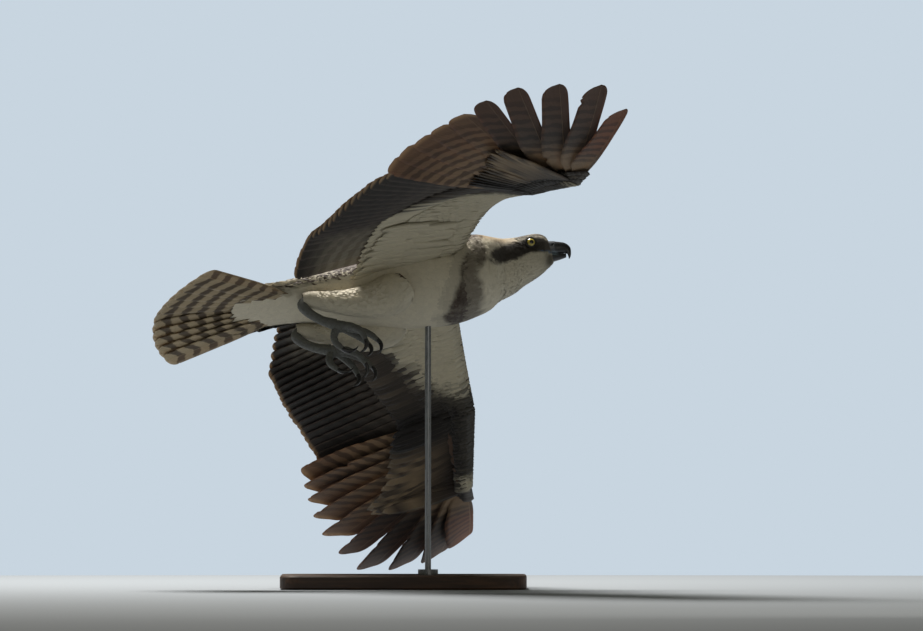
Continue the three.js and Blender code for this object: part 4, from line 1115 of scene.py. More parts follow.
# %% Grow the coverts
BIG_ROWS = [0.0, 0.2, 0.42, 0.64, 0.82, 0.94]
BIG_WIDTHS = [0.3, 0.75, 0.98, 1.0, 0.85, 0.5]
WHITE_REACH = {"left": (170, 135, 95, 52, 16), "right": (250, 205, 130, 62, 14)}
covert_total = 0
for side_name, wing in WINGS.items():
    for face, face_name in ((-1, "under"), (1, "upper")):
        sets = []
        index = np.concatenate([np.arange(0, 10, 0.5), np.linspace(9.6, 27, 38)])
        shaft = shafts_at(wing, index)
        arm_like = smooth(1.02, 0.9, shaft["s"])
        share = lerp(0.44, 0.40, arm_like) * (1.0 if face < 0 else 0.86)
        sets.append(("greater", index, shaft["back"] - 6, shaft["length"] * share + 8,
                     lerp(23, 24, arm_like), BIG_ROWS, BIG_WIDTHS, 2.2, 5, 0.02,
                     lerp(4.0, 0.5, arm_like)))
        for row, first in enumerate((0.95, 0.80, 0.66)):
            index = np.arange(0.1 + 0.1 * row, 27, 0.5)
            index = np.clip(index + rng.uniform(-0.08, 0.08, len(index)), 0, 27)
            shaft = shafts_at(wing, index)
            arm_like = smooth(1.02, 0.9, shaft["s"])
            start = shaft["back"] * first + (1 - arm_like) * (30 - 13 * row)
            sets.append(("median", index, start, lerp(44, 48, arm_like),
                         lerp(16, 17, arm_like), LEAF_ROWS, LEAF_WIDTHS, 1.8, 3, 0.05,
                         lerp(3.0, 0.8, arm_like)))
        rows_index, rows_start = [], []
        for fraction in np.arange(0.02, 0.80, 0.05):
            index = np.arange(0.1, 27, 0.30)
            index = np.clip(index + rng.uniform(-0.12, 0.12, len(index)), 0, 27)
            rows_index.append(index)
            rows_start.append(fraction * shafts_at(wing, index)["back"])
        for beyond in (4.0, 14.0):
            index = np.clip(np.arange(0.0, 10.5, 0.25) + rng.uniform(-0.1, 0.1, 42), 0, 27)
            rows_index.append(index)
            rows_start.append(shafts_at(wing, index)["back"] + beyond)
        index, start = np.concatenate(rows_index), np.concatenate(rows_start)
        arm_like = smooth(1.02, 0.9, shafts_at(wing, index)["s"])
        length = lerp(24, 26, arm_like) * rng.uniform(0.85, 1.1, len(index))
        sets.append(("lesser", index, start, length, lerp(10, 12.5, arm_like),
                     LEAF_ROWS, LEAF_WIDTHS, 1.4, 3, 0.1, lerp(1.6, 0.6, arm_like)))
        if face < 0:
            index = np.tile(np.linspace(22.5, 27, 22), 3)
            start = np.repeat([22.0, 44.0, 66.0], 22) + rng.uniform(-4, 4, 66)
            sets.append(("axillary", index, start, rng.uniform(74, 92, 66), np.full(66, 24.0),
                         BIG_ROWS, BIG_WIDTHS, 2.0, 3, 0.06, 2.6))
        points, faces, vanes, patches, tints = [], [], [], [], []
        begin = 0
        for row, index, start, length, width, rows_at, widths, tuck, across, fan_out, extra in sets:
            extra = np.broadcast_to(extra, len(index))[:, None]
            p, f, v, patch, s, q = covert_leaves(wing, face, index, start, length, width, rows_at,
                                                 widths, np.full(len(index), tuck), across,
                                                 fan_out=fan_out, extra=extra)
            noise = rng.uniform(-1, 1, len(index))
            tint = covert_colour(s[:, None], (q + 0.5 * length)[:, None], v[..., 0], face, row,
                                 noise[:, None], WHITE_REACH[side_name])
            tint = tint * rng.uniform(0.93, 1.04, len(index))[:, None, None]
            points.append(p.reshape(-1, 3))
            faces.append(f + begin)
            begin += p.shape[0] * p.shape[1]
            vanes.append(v.reshape(-1, 2))
            patches.append(patch.reshape(-1, 2))
            vary = rng.uniform(0, 1, len(index))[:, None, None]
            vary = np.broadcast_to(vary, (*tint.shape[:2], 1))
            tints.append(np.concatenate([tint, vary], -1).reshape(-1, 4))
        points, faces = np.concatenate(points), np.concatenate(faces)
        if face < 0:
            faces = faces[:, ::-1]
        if wing["side"] < 0:
            points = points * [1, -1, 1]
            faces = faces[:, ::-1]
        name = f"coverts_{face_name}_{side_name}"
        obj = piece(name, points, faces, covert_mat, np.concatenate(tints),
                    np.concatenate(vanes), np.concatenate(patches))
        wing_pieces[side_name] += (obj,)
        covert_total += len(faces)
print("covert triangles:", covert_total)
for side_name, pieces in wing_pieces.items():
    parts_of_wing = [f"wing_{side_name}_{part}" for part in ("upperarm", "forearm", "hand")]
    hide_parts(*parts_of_wing)

# %% [markdown]
# ## Tail
# Six pairs of feathers open like a hand of cards, the middle pair on top. Each is
# straight-sided with a blunt end, crossed by dark bars that fade on the outer edge.

# %% Tail feathers
TAIL = dict(pivot=np.array([-205.0, 0, 13]), length=214, half_fan=33, yaw=-8.2, skew=0.05,
            layer=1.9, pairs=6)
made = []
t = np.concatenate([np.linspace(0.05, 0.92, 30), np.linspace(0.92, 1, 12)[1:]])
for i in range(TAIL["pairs"]):
    for side in (1, -1):
        share = (i + 0.35) / (TAIL["pairs"] - 0.65)
        angle = np.radians(side * TAIL["half_fan"] * share + TAIL["yaw"])
        height = -TAIL["layer"] * (i + (0.5 if side < 0 else 0))
        reach = TAIL["length"] * (1 - side * TAIL["skew"] / 2 * share ** 2)
        away = np.array([-np.cos(angle), np.sin(angle), 0])
        lead = np.array([np.sin(angle), np.cos(angle), 0]) * side
        centre = TAIL["pivot"] + away * (lerp(18, reach, t))[:, None] + [0, 0, height]
        normal = np.broadcast_to([0.0, 0, 1], centre.shape)
        front = outline("tail", "front", t, 0.05) * nicks(t, 4)
        back = outline("tail", "back", t, 0.05) * nicks(t, 5)
        p, f, v = vane_solid(centre, np.broadcast_to(lead, centre.shape), normal, front, back,
                             0.7, 0.5, 0.03, t)
        if side < 0:
            f = f[:, ::-1]
        under = np.repeat([False, True], len(p) // 2)[:, None]
        pale = np.where(under, srgb(186, 166, 132), srgb(96, 76, 58))
        colour = mix(pale, srgb(232, 220, 196), smooth(0.96, 1.0, v[:, 0]) * 0.5)
        light_side = 0.5 * smooth(0.2, -0.9, v[:, 1]) * (i > 1)
        colour = mix(colour, srgb(206, 186, 150), light_side)
        vary = np.full((len(p), 1), 0.02 * rng.uniform())
        made.append((p, f, v, np.concatenate([colour, vary], -1)))
tail = join_vanes("tail_feathers", made, tail_mat)
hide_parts("tail")

# %% [markdown]
# ## Bill
# The upper half is one deep, hooked shell: soft blue-grey cere at its base, then hard
# dark horn that turns straight down into a long point. The lower half is a short trough
# behind the hook. Both are lofted from rows of rounded sections along the mouth's line.

# %% Horn, cere and bare skin
def plain_material(name, roughness, coat=0.0, scale=900.0, strength=0.15, distance=0.0002,
                   voronoi=False, patchy=0.12):
    """A surface whose colour comes with the mesh, broken by fine noise and bump."""
    material, tree, shader, _ = new_material(name)
    tint = node(tree, "ShaderNodeAttribute", attribute_name="Tint")
    place = node(tree, "ShaderNodeTexCoord")
    noise = node(tree, "ShaderNodeTexNoise", {"Vector": place.outputs["Object"], "Scale": scale,
                                              "Detail": 4.0})
    shade = ramp(tree, noise.outputs["Fac"], 0.25, 0.75, 1 - patchy, 1 + patchy)
    tone = node(tree, "ShaderNodeCombineColor", {0: shade, 1: shade, 2: shade})
    tree.links.new(blend_colour(tree, 1.0, tint.outputs["Color"], tone.outputs[0], "MULTIPLY"),
                   shader.inputs["Base Color"])
    rough = ramp(tree, noise.outputs["Fac"], 0.2, 0.8, roughness * 0.8, roughness * 1.2)
    tree.links.new(rough, shader.inputs["Roughness"])
    shader.inputs["Coat Weight"].default_value = coat
    shader.inputs["Coat Roughness"].default_value = 0.15
    height = noise.outputs["Fac"]
    if voronoi:
        cells = node(tree, "ShaderNodeTexVoronoi", {"Vector": place.outputs["Object"],
                                                    "Scale": voronoi})
        height = math(tree, "SUBTRACT", math(tree, "MULTIPLY", height, 0.3),
                      cells.outputs["Distance"])
    add_bump(tree, shader, height, strength, distance)
    return material


horn_mat = plain_material("bill_horn", 0.32, coat=0.35, scale=260.0)
claw_mat = plain_material("claw_horn", 0.3, coat=0.4, scale=300.0)
eye_mat = plain_material("eye", 0.12, coat=1.0, scale=2400.0, strength=0.02, patchy=0.2)
scale_mat = plain_material("leg_scales", 0.6, scale=700.0, strength=0.9, distance=0.0006,
                           voronoi=560.0)
skin_mat = plain_material("bare_skin", 0.75, scale=900.0, strength=0.3)
print("plain materials: 5")

# %% Upper and lower bill
UPPER_BILL = [(20, 8, 8.6, 7.6, 10, 0), (28, 8.2, 8.1, 7.8, 10.2, 0), (36, 8, 6.8, 7.6, 10, 8),
              (43, 7.6, 5.4, 7, 9, 22), (48.3, 5, 3.8, 5.6, 6.8, 48),
              (50.8, 0.5, 2.4, 3.2, 2.6, 72), (51.6, -3.8, 1.3, 1.6, 1.4, 88),
              (51.2, -7, 0.35, 0.4, 0.4, 98)]
LOWER_BILL = [(21, -5.6, 7.6, 7, 6.4, 0), (29, -5.4, 6.8, 7, 6, 0), (36, -4.4, 5.4, 6, 5, 0),
              (42, -3.2, 4, 4.6, 4.2, 0), (47.4, -2.5, 2.5, 3.2, 2.8, 0)]
MOUTH_GAP = 0.25
BILL_SIDES = 64


def bill_rings(rows, steps, pinch):
    around = 2 * np.pi * np.arange(BILL_SIDES) / BILL_SIDES
    s, c = np.sin(around), np.cos(around)
    rings = []
    for x, middle, half, up, down, slope in through(rows, np.linspace(0, len(rows) - 1, steps)):
        lean = np.radians(slope)
        rise = np.where(c > 0, up, down) * c
        wide = np.sign(s) * np.abs(s) ** pinch * half
        rings.append(np.stack([x + rise * np.sin(lean), wide, middle + rise * np.cos(lean)], -1))
    return np.array(rings)


def close_ends(points, rings, sides):
    """Faces of a run of rings with a fan at each end, as triangles."""
    quads = grid_faces(rings, sides, closed=True)
    faces = np.concatenate([quads[:, [0, 1, 2]], quads[:, [0, 2, 3]]])
    caps = []
    for ring_at, turned in ((0, False), (rings - 1, True)):
        middle = len(points)
        ring = points[ring_at * sides:(ring_at + 1) * sides]
        points = np.concatenate([points, ring.mean(0)[None]])
        k = ring_at * sides + np.arange(sides)
        nxt = ring_at * sides + (np.arange(sides) + 1) % sides
        cap = np.stack([np.full(sides, middle), nxt, k], -1)
        caps.append(cap[:, ::-1] if turned else cap)
    return points, np.concatenate([faces, *caps])


def ring_piece(name, rings, material, tint, side=1):
    """A closed tube over rings of points, with a colour for each point. Side -1 mirrors
    it to the bird's right."""
    steps, sides = rings.shape[:2]
    points, faces = close_ends(rings.reshape(-1, 3), steps, sides)
    tints = np.concatenate([tint.reshape(-1, 3), tint[0].mean(0)[None], tint[-1].mean(0)[None]])
    if side < 0:
        points, faces = points * [1, -1, 1], faces[:, ::-1]
    unwrap = np.stack(np.meshgrid(np.linspace(0.02, 0.98, steps), np.linspace(0.02, 0.98, sides),
                                  indexing="ij"), -1).reshape(-1, 2)
    unwrap = np.concatenate([unwrap, [[0.01, 0.5], [0.99, 0.5]]])
    return piece(name, points, faces, material, tints, None, unwrap)


upper = bill_rings(UPPER_BILL, 110, 0.92)
x, y, z = upper[..., 0], upper[..., 1], upper[..., 2]
floor = lerp(MOUTH_GAP, -20, smooth(46.3, 48.6, x)) + 0.2 * np.exp(-((x - 40) / 3.2) ** 2)
upper[..., 2] = np.maximum(z, floor)
cere = smooth(33.6, 32.2, x) * smooth(1.5, 4, z)
centre = upper.mean(1, keepdims=True)
outward = unit((upper - centre) * [0, 1, 1])
ahead, above = x - 29.6, z - 10.4
nostril = np.hypot(ahead * 0.85 + above * 0.5, (above * 0.85 - ahead * 0.5) * 2.2)
hole = smooth(2.5, 1.5, nostril)
ridge = np.exp(-((nostril - 3.1) / 0.7) ** 2)
upper = upper + outward * (0.35 * cere + 0.25 * ridge - 1.7 * hole)[..., None]
tint = mix(np.broadcast_to(srgb(72, 76, 82), upper.shape), srgb(40, 41, 45), smooth(31, 34.5, x))
tint = mix(tint, srgb(20, 20, 22), smooth(38, 49, x + 0.6 * (8 - z)))
tint = mix(tint, srgb(112, 128, 136), 0.8 * smooth(2.2, 1.0, z) * smooth(38, 33, x))
tint = mix(tint, srgb(12, 12, 13), hole)
bill_upper = ring_piece("bill_upper_shell", head_to_bird(upper), horn_mat, tint)
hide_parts("bill_upper")

lower = bill_rings(LOWER_BILL, 60, 0.95)
ceiling = -MOUTH_GAP + 0.15 * np.exp(-((lower[..., 0] - 40) / 3) ** 2)
lower[..., 2] = np.minimum(lower[..., 2], ceiling)
tint = mix(np.broadcast_to(srgb(104, 118, 126), lower.shape), srgb(30, 31, 34),
           np.maximum(smooth(30, 40, lower[..., 0]), smooth(-2.5, -4.5, lower[..., 2])))
bill_lower = ring_piece("bill_lower_trough", head_to_bird(lower), horn_mat, tint)
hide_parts("bill_lower")
print("bill made: upper", len(upper), "rings, lower", len(lower))

# %% [markdown]
# ## Eyes
# The eye is a ball sunk behind a ring of bare lid, with a clear bulge over the iris. The
# iris is yellow with fine rays and a dark rim, and the pupil is black. A smooth coat
# over the colours stands for the wet cornea.

# %% Eyeballs and lids
EYE = dict(at=np.array([0.0, 22.2, 9.0]), ball=8.2, opening=6.2, sunk=5.0)


def eye_frame(side):
    outward = unit(np.array([0.22, side, 0.1]))
    centre = EYE["at"] * [1, side, 1] - outward * EYE["sunk"]
    level = unit(np.cross(outward, [0, 0, 1]) * side)
    return centre, outward, level, np.cross(outward, level) * side


for side, side_name in ((1, "left"), (-1, "right")):
    centre, outward, level, upright = eye_frame(side)
    bend = np.linspace(0, np.pi * 0.62, 60)
    around = 2 * np.pi * np.arange(72) / 72
    b, g = np.meshgrid(bend, around, indexing="ij")
    bulge = 0.9 * smooth(0.8, 0.1, b)
    radius = EYE["ball"] + bulge * 0.9
    flat_out = np.sin(b) * EYE["ball"]
    ball = (centre + (radius * np.cos(b))[..., None] * outward
            + (radius * np.sin(b) * np.cos(g))[..., None] * level
            + (radius * np.sin(b) * np.sin(g))[..., None] * upright)
    rays = 0.5 + 0.25 * np.sin(23 * g) + 0.25 * np.sin(41 * g + 1.3)
    iris = mix(np.broadcast_to(srgb(196, 176, 62), (*b.shape, 3)), srgb(132, 112, 38), rays * 0.6)
    iris = mix(iris, srgb(220, 206, 104), smooth(3.8, 2.9, flat_out) * 0.5)
    iris = mix(iris, srgb(40, 30, 18), smooth(4.6, 5.3, flat_out))
    iris = mix(iris, srgb(6, 6, 7), smooth(2.75, 2.5, flat_out))
    points = ball.reshape(-1, 3)
    faces = grid_faces(len(bend), len(around), closed=True)
    unwrap = np.stack([0.5 + 0.45 * (b / np.pi / 0.62) * np.cos(g),
                       0.5 + 0.45 * (b / np.pi / 0.62) * np.sin(g)], -1).reshape(-1, 2)
    eye = piece(f"eyeball_{side_name}", head_to_bird(points), faces if side > 0 else faces[:, ::-1],
                eye_mat, iris.reshape(-1, 3), None, unwrap)
    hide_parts(f"eye_{side_name}")

    around = 2 * np.pi * np.arange(96) / 96
    tube = 2 * np.pi * np.arange(16) / 16
    g, k = np.meshgrid(around, tube, indexing="ij")
    hood = smooth(-0.2, 1, np.sin(g))
    wide = EYE["opening"] + 0.75 - 0.9 * hood + 0.35 * np.abs(np.cos(g)) ** 3
    thick = 1.15 + 0.35 * hood
    reach = wide + thick * np.cos(k)
    height = EYE["sunk"] - 0.1 + 0.5 * hood + thick * 0.9 * np.sin(k) + 0.12 * np.sin(14 * g)
    lid = (centre + height[..., None] * outward + (reach * np.cos(g))[..., None] * level
           + (reach * np.sin(g))[..., None] * upright)
    dark = mix(np.broadcast_to(srgb(48, 46, 46), (*g.shape, 3)), srgb(86, 92, 96),
               smooth(0.2, -0.9, np.cos(k)) * 0.35)
    points = lid.reshape(-1, 3)
    faces = []
    for i in range(96):
        for j in range(16):
            faces.append((i * 16 + j, ((i + 1) % 96) * 16 + j, ((i + 1) % 96) * 16 + (j + 1) % 16,
                          i * 16 + (j + 1) % 16))
    unwrap = np.stack([g / 6.2832 * 0.96 + 0.02, k / 6.2832 * 0.9 + 0.05], -1).reshape(-1, 2)
    lid_piece = piece(f"eyelid_{side_name}", head_to_bird(points), np.array(faces), skin_mat,
                      dark.reshape(-1, 3), None, unwrap)
print("eye opening", EYE["opening"], "mm across the half")

# %% [markdown]
# ## Legs and feet
# The thigh wears short white feathers, and the shank and foot are bare, grey and rough
# with small scales. Toes carry a row of scutes on top and end in
# long, round, black claws. The legs trail under the tail with the toes half closed.

# %% Limbs as tubes along curves
THIGH = [(-92, 44, -18, 24), (-112, 46, -27, 27), (-140, 47, -31, 23), (-170, 46, -27, 17),
         (-200, 45, -18, 12.5), (-216, 44, -12, 10.5), (-226, 44, -10, 8)]
SHANK = [(-222, 44, -10, 5), (-228, 43.5, -18, 7), (-222, 42, -30, 6.2), (-208, 39, -42, 6),
         (-192, 36, -50, 7.6)]
FOOT = np.array([-187.0, 35, -52])
TOES = {"inner": [(0, 0, 0), (14, -9, -8), (27, -12, -19), (33, -9, -31)],
        "middle": [(0, 0, 0), (17, 0, -9), (33, 2, -19), (43, 3, -32)],
        "outer": [(0, 0, 0), (12, 10, -9), (22, 16, -21), (25, 15, -34)],
        "hind": [(0, 0, 0), (-9, -2, -10), (-10, -4, -21), (-3, -5, -31)]}
TOE_RADIUS = [6.2, 4.9, 4.3, 3.3]
CLAW_RADIUS = [3.1, 3.1, 2.7, 2.1, 1.3, 0.3]


def tube(points, radii, sides, steps, shape=None):
    """Rings of a tube along a smooth curve through points, and the directions on it."""
    spine = through(points, np.linspace(0, len(points) - 1, steps))
    tangent = unit(np.gradient(spine, axis=0))
    size = through(np.array(radii)[:, None], np.linspace(0, len(radii) - 1, steps))[:, 0]
    start = np.cross(tangent[0], [0.0, 1, 0])
    normals = [unit(start)]
    for k in range(1, steps):
        n = normals[-1] - tangent[k] * np.dot(normals[-1], tangent[k])
        normals.append(unit(n))
    normals = np.array(normals)
    binormals = np.cross(tangent, normals)
    around = 2 * np.pi * np.arange(sides) / sides
    place = np.linspace(0, 1, steps)
    grow = np.ones((steps, sides)) if shape is None else shape(place[:, None], around[None, :])
    out = (normals[:, None] * np.cos(around)[None, :, None]
           + binormals[:, None] * np.sin(around)[None, :, None])
    rings = spine[:, None] + out * (size[:, None] * grow)[..., None]
    return rings, spine, tangent


CLAW_LENGTH, CLAW_BEND = 24, np.radians(105)


def scutes(count, top=0.09, pads=0.1):
    """Plates across the top of a toe and soft pads under it."""
    def shape(t, a):
        plate = 0.5 + 0.5 * np.cos(2 * np.pi * ((t * count) % 1.0 - 0.35))
        over = smooth(0.2, 0.8, -np.cos(a))
        under = smooth(0.2, 0.9, np.cos(a))
        pad = np.sin(np.pi * t * count / 3) ** 2
        return 1 + top * over * (plate ** 0.6 - 0.5) + pads * under * pad
    return shape


for side, side_name in ((1, "left"), (-1, "right")):
    rings, _, _ = tube([r[:3] for r in SHANK], [r[3] for r in SHANK], 40, 90,
                       scutes(16, 0.06, 0.03))
    grey = srgb(98, 99, 94)
    tint = np.broadcast_to(grey, rings.shape) * (0.9 + 0.1 * waves(rings, 5, 8))[..., None]
    shank = ring_piece(f"shank_{side_name}", rings, scale_mat, tint, side)
    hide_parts(f"tarsus_{side_name}")
    for toe, path in TOES.items():
        points = [FOOT + np.array(p, float) for p in path]
        rings, spine, tangent = tube(points, TOE_RADIUS, 32, 80, scutes(13))
        tint = np.broadcast_to(grey, rings.shape) * (0.88 + 0.12 * waves(rings, 4, 9))[..., None]
        ring_piece(f"toe_{side_name}_{toe}", rings, scale_mat, tint, side)
        end, ahead = spine[-1], tangent[-1]
        curl = np.array([1.0 if toe == "hind" else -1.0, 0, 0])
        inward = unit(curl - ahead * np.dot(curl, ahead))
        bow = CLAW_LENGTH / CLAW_BEND
        turn_by = CLAW_BEND * np.linspace(-0.08, 1, 12)
        claw_path = end + ahead * (bow * np.sin(turn_by))[:, None] + inward * (
            bow * (1 - np.cos(turn_by)))[:, None]
        rings, _, _ = tube(claw_path, CLAW_RADIUS, 28, 60)
        tint = np.broadcast_to(srgb(26, 25, 26), rings.shape)
        claw = ring_piece(f"talon_{side_name}_{toe}", rings, claw_mat, tint, side)
        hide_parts(f"claw_{side_name}_{toe}")
    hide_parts(f"foot_{side_name}")
    palm_path = FOOT + np.array([[-9, 0, 5], [-4, 0, 1], [3, 0, -3], [10, 0, -6]])
    palm_rings, _, _ = tube(palm_path, [3.5, 7.4, 7.4, 4], 32, 40)
    tint = np.broadcast_to(grey, palm_rings.shape) * 0.95
    ring_piece(f"palm_{side_name}", palm_rings, scale_mat, tint, side)
print("legs made with", len(TOES), "toes each")

# %% [markdown]
# ## Skin
# Under all feathers lies one skin: trunk, neck, head, thighs and the fleshy arms of the
# wings, drawn in by the depth of the coat. The parts are closed tubes that run into one
# another, and a voxel remesh fuses them, so that no seam or gap shows between feathers.

# %% Closed parts of the skin
def closed_rings(rings):
    return close_ends(rings.reshape(-1, 3), len(rings), rings.shape[1])


skin_parts = [closed_rings(SKIN[2:])]
for side in (1, -1):
    rings, spine, tangent = tube([r[:3] for r in THIGH], [r[3] - 3.5 for r in THIGH], 40, 60)
    skin_parts.append(closed_rings(rings * [1, side, 1]))
for wing in WINGS.values():
    s = np.linspace(-0.14, 2.0, 90)
    edge = edge_point(wing, s)
    x, _, z = wing_axes(wing, s, 0.15)
    chord = np.interp(s, BLADE[:, 0], BLADE[:, 1]) - 6
    place = 0.5 - 0.5 * np.cos(np.linspace(0, np.pi, 24))
    behind = edge[:, None] - x[:, None] * (2.5 + place * chord[:, None])[..., None]
    blade = np.array([blade_half(si, 2.5 + place * c) for si, c in zip(s, chord)])
    thick = np.maximum(blade - 3.0, 0.5)
    top = behind + z[:, None] * thick[..., None]
    low = (behind - z[:, None] * thick[..., None])[:, ::-1]
    rings = np.concatenate([top, low], 1) * [1, wing["side"], 1]
    skin_parts.append(closed_rings(rings))
print("skin parts:", len(skin_parts))

# %% Fuse them into one skin
SKIN_GRAIN = 0.0022              # metres between the points of the fused skin
points, faces, start = [], [], 0
for p, f in skin_parts:
    points.append(p)
    faces.append(f + start)
    start += len(p)
rough = bpy.data.meshes.new("skin_parts")
points = to_world(np.concatenate(points)) * MM
rough.from_pydata(points.tolist(), [], np.concatenate(faces).tolist())
rough_obj = bpy.data.objects.new("skin_parts", rough)
bpy.context.scene.collection.objects.link(rough_obj)
remesh = rough_obj.modifiers.new("fuse", "REMESH")
remesh.mode, remesh.voxel_size = "VOXEL", SKIN_GRAIN
graph = bpy.context.evaluated_depsgraph_get()
fused = rough_obj.evaluated_get(graph).to_mesh()
flat, normal = (np.empty(len(fused.vertices) * 3, np.float32) for _ in range(2))
fused.vertices.foreach_get("co", flat)
fused.vertices.foreach_get("normal", normal)
loops = np.empty(len(fused.loops), np.int32)
fused.loops.foreach_get("vertex_index", loops)
skin_faces = loops.reshape(-1, 4)
skin_points = (flat.reshape(-1, 3) / MM - BIRD_AT) @ BIRD_TURN
skin_normals = normal.reshape(-1, 3) @ BIRD_TURN
bpy.data.objects.remove(rough_obj)
print("skin:", len(skin_points), "points", len(skin_faces), "faces")

# %% Hollow for the eyes, then colour the skin
for side in (1, -1):
    centre, outward, level, upright = eye_frame(side)
    local = bird_to_head(skin_points) - centre
    height = local @ outward
    reach = np.linalg.norm(local - height[:, None] * outward, axis=1)
    near = (reach < 9) & (height > 0)
    allowed = lerp(1.0, EYE["sunk"] + 0.6, smooth(5.6, 7.4, reach))
    push = np.where(near, np.maximum(height - allowed, 0), 0)
    skin_points = skin_points - (push[:, None] * outward) @ HEAD_TURN.T
skin_tint = body_marking(skin_points, skin_normals)
wing_part = smooth(62, 80, np.abs(skin_points[:, 1]))
far_out = smooth(150, 240, np.abs(skin_points[:, 1]))
under_wing = mix(np.broadcast_to(srgb(200, 188, 164), skin_points.shape), BROWN,
                 np.maximum(smooth(-0.2, 0.3, skin_normals[:, 2]), far_out))
skin_tint = mix(skin_tint, under_wing, wing_part)
q = bird_to_head(skin_points)
bare = smooth(7.5, 10, q[:, 0]) * smooth(1.9, 1.0, np.abs(q[:, 2] + 0.3))
skin_tint = mix(skin_tint, srgb(96, 108, 124), bare)
leaning = skin_points[:, 1] + 3 * skin_points[:, 2]
unwrap = np.stack([0.5 + skin_points[:, 0] / 800, 0.5 + leaning / 1900], -1)
skin = piece("skin", skin_points, skin_faces, skin_mat, skin_tint, None, unwrap)
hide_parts("torso", "neck", "head", "thigh_left", "thigh_right")
print("skin tinted")

# %% Small feathers on the thighs
for side, side_name in ((1, "left"), (-1, "right")):
    outer, spine, tangent = tube([r[:3] for r in THIGH], [r[3] for r in THIGH], 40, 60)
    steps, sides = outer.shape[:2]
    k, j = np.meshgrid(np.arange(2, 57, 1.5), np.arange(0, 40, 1.25), indexing="ij")
    k = (k + rng.uniform(-0.6, 0.6, k.shape)).ravel()
    j = (j + rng.uniform(-0.5, 0.5, j.shape)).ravel()
    rows_at = np.array(LEAF_ROWS)
    t = np.append(rows_at, 1.0)
    length = rng.uniform(15, 20, len(k))
    step = np.linalg.norm(np.diff(spine, axis=0), axis=1).mean()
    place = np.clip(k[:, None] + t * length[:, None] / step, 0, steps - 1.001)
    k0 = np.floor(place).astype(int)
    f = (place - k0)[..., None]
    j0 = np.floor(j).astype(int) % sides
    g = (j - np.floor(j))[:, None, None]
    ring_a = outer[k0, j0[:, None]] * (1 - f) + outer[k0 + 1, j0[:, None]] * f
    j1 = ((j0 + 1) % sides)[:, None]
    ring_b = outer[k0, j1] * (1 - f) + outer[k0 + 1, j1] * f
    at = ring_a * (1 - g) + ring_b * g
    axis = spine[k0] * (1 - f) + spine[k0 + 1] * f
    up = unit(at - axis)
    rise = np.sin(np.pi / 2 * np.clip(t * 1.2, 0, 1))
    at = at + up * (-3.5 * (1 - rise))[None, :, None]
    along = unit(np.gradient(at, axis=1))
    half = (length * 0.21)[:, None] * np.array(LEAF_WIDTHS)
    points, faces, share = leaves(at[:, :-1], along[:, :-1], up[:, :-1], half, at[:, -1])
    vane = vane_places(rows_at, share, len(k))
    root = np.stack([0.02 + 0.96 * k / steps, 0.02 + 0.96 * np.mod(j, sides) / sides], -1)
    surface = np.concatenate([np.repeat(up[:, :-1], 3, axis=1), up[:, -1:]], 1)
    tints = np.broadcast_to(WHITE, points.shape) * rng.uniform(0.95, 1.03, len(k))[:, None, None]
    if side < 0:
        points, faces, surface = points * [1, -1, 1], faces[:, ::-1], surface * [1, -1, 1]
    add_piece_of_leaves(f"coat_thigh_{side_name}",
                        (points, faces, vane, bake_patches(root, vane)), tints, coat_mat, surface)
print("thigh feathers:", 2 * len(k))

# %% [markdown]
# ## Display stand
# A dark oiled wooden base carries a slim steel rod that ends in the bird's breast. The
# solids already have these shapes, so they only get their finish here.

# %% Wood and steel
def stretched_noise(tree, stretch, scale, detail, distortion=0.0):
    """Fine noise in the object's own space, drawn out along one axis."""
    place = node(tree, "ShaderNodeTexCoord")
    mapping = node(tree, "ShaderNodeMapping", {"Vector": place.outputs["Object"],
                                               "Scale": stretch})
    return node(tree, "ShaderNodeTexNoise", {"Vector": mapping.outputs[0], "Scale": scale,
                                             "Detail": detail, "Distortion": distortion})


wood, tree, shader, _ = new_material("stand_wood")
grain = stretched_noise(tree, (2.0, 26.0, 26.0), 4.0, 6.0, 0.8)
pores = stretched_noise(tree, (2.0, 26.0, 26.0), 34.0, 3.0)
colour = blend_colour(tree, ramp(tree, grain.outputs["Fac"], 0.35, 0.65), (*srgb(58, 40, 29), 1),
                      (*srgb(92, 64, 44), 1))
colour = blend_colour(tree, ramp(tree, pores.outputs["Fac"], 0.62, 0.75, 0.0, 0.6), colour,
                      (*srgb(30, 20, 15), 1))
tree.links.new(colour, shader.inputs["Base Color"])
tree.links.new(ramp(tree, pores.outputs["Fac"], 0.3, 0.8, 0.35, 0.6), shader.inputs["Roughness"])
add_bump(tree, shader, pores.outputs["Fac"], 0.15, 0.0003)

steel, tree, shader, _ = new_material("stand_steel")
lines = stretched_noise(tree, (900.0, 900.0, 30.0), 1.0, 2.0)
shader.inputs["Base Color"].default_value = (*srgb(150, 152, 155), 1)
shader.inputs["Metallic"].default_value = 1.0
tree.links.new(ramp(tree, lines.outputs["Fac"], 0.3, 0.7, 0.22, 0.42), shader.inputs["Roughness"])
for name, material in (("stand_base", wood), ("stand_collar", steel), ("stand_rod", steel)):
    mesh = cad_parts[name].data
    mesh.materials.clear()
    mesh.materials.append(material)
print("stand finished")

# %% [markdown]
# ## Floor, light and camera
# The photograph looks at the bird from far off through a long lens, a little below it,
# and the light stands behind it. The set keeps that: a pale floor, a pale blue-grey
# surround, one wide soft light high behind the bird, and a weaker one for the underside.

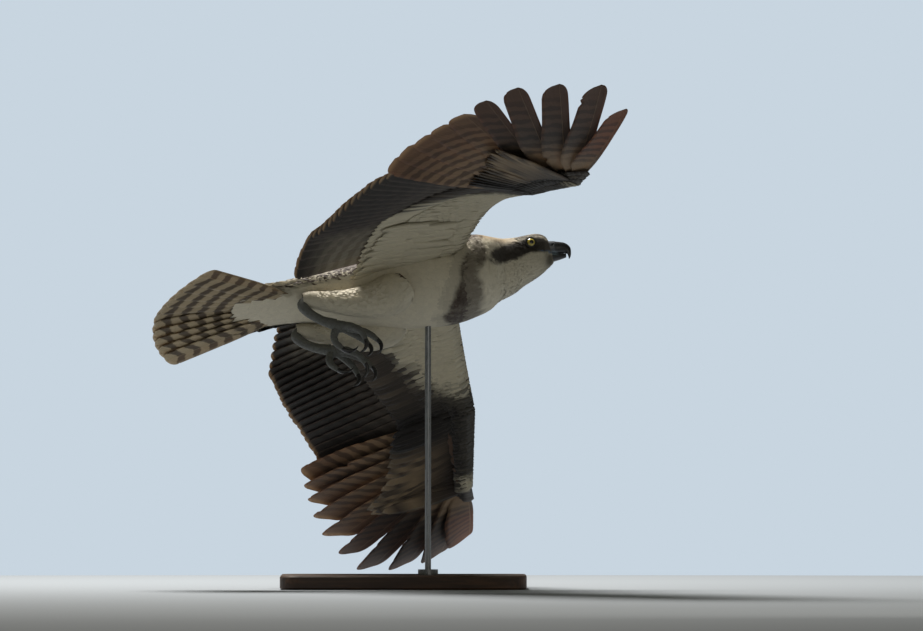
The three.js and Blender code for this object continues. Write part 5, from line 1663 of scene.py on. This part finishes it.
# %% Floor
floor_mesh = bpy.data.meshes.new("floor")
HALF_WIDE, BEHIND, BEFORE = 2.6, 1.6, 9.1     # metres, an oval longer towards the camera
BELOW, CORNERS = 0.0005, 96
ring_at = 2 * np.pi * np.arange(CORNERS) / CORNERS
oval = [(HALF_WIDE * np.cos(a), (BEHIND if np.sin(a) > 0 else BEFORE) * np.sin(a), -BELOW)
        for a in ring_at]
floor_mesh.from_pydata(oval, [], [tuple(range(CORNERS))])
floor_obj = bpy.data.objects.new("floor", floor_mesh)
bpy.context.scene.collection.objects.link(floor_obj)
paper, tree, shader, _ = new_material("floor_paper")
shader.inputs["Base Color"].default_value = (*srgb(158, 165, 172), 1)
shader.inputs["Roughness"].default_value = 0.9
floor_mesh.materials.append(paper)
floor_obj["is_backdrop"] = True
print("floor", 2 * HALF_WIDE, "m wide")

# %% Surround and lights
world = bpy.data.worlds.new("surround")
bpy.context.scene.world = world
world.use_nodes = True
tree = world.node_tree
tree.nodes.clear()
backdrop = node(tree, "ShaderNodeBackground", {"Color": (*srgb(200, 213, 224), 1),
                                               "Strength": 1.0})
fill = node(tree, "ShaderNodeBackground", {"Color": (*srgb(206, 206, 190), 1), "Strength": 0.16})
path = node(tree, "ShaderNodeLightPath")
pick = node(tree, "ShaderNodeMixShader")
tree.links.new(path.outputs["Is Camera Ray"], pick.inputs[0])
tree.links.new(fill.outputs[0], pick.inputs[1])
tree.links.new(backdrop.outputs[0], pick.inputs[2])
out = node(tree, "ShaderNodeOutputWorld")
tree.links.new(pick.outputs[0], out.inputs["Surface"])


def soft_light(name, at, aim, size, watts, colour):
    light = bpy.data.lights.new(name, "AREA")
    light.shape, light.size, light.energy, light.color = "DISK", size, watts, colour
    obj = bpy.data.objects.new(name, light)
    obj.location = at
    obj.rotation_euler = (Vector(aim) - Vector(at)).to_track_quat("-Z", "Y").to_euler()
    bpy.context.scene.collection.objects.link(obj)
    return obj


soft_light("high_light", (-0.6, 1.2, 2.6), (0.05, 0.0, 0.4), 1.2, 150, (1.0, 0.96, 0.9))
soft_light("front_fill", (0.9, -2.6, 1.0), (0.05, 0.0, 0.4), 1.6, 4, (1.0, 0.94, 0.82))
print("lights: 2")

# %% Camera far away with a long lens
camera = bpy.data.cameras.new("camera")
AWAY, FRAME_WIDTH = 30.0, 1.2       # metres
camera.sensor_width = 36
camera.lens = AWAY * camera.sensor_width / FRAME_WIDTH
camera.clip_start, camera.clip_end = 1.0, 200.0
camera_obj = bpy.data.objects.new("camera", camera)
camera_obj.location = (0.07545, 0.01 - AWAY, 0.35495)
camera_obj.rotation_euler = (np.pi / 2, 0, 0)
bpy.context.scene.collection.objects.link(camera_obj)
bpy.context.scene.camera = camera_obj
bpy.context.scene.view_settings.view_transform = "Standard"
print("frame width at the bird:", FRAME_WIDTH, "m, lens", round(camera.lens), "mm")

# %% Compare sizes and finish
visual_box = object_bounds()
for axis, label in enumerate("XYZ"):
    ends = (cad_box[0], visual_box[0], cad_box[1], visual_box[1])
    print(label, [round(1000 * b[axis], 1) for b in ends])
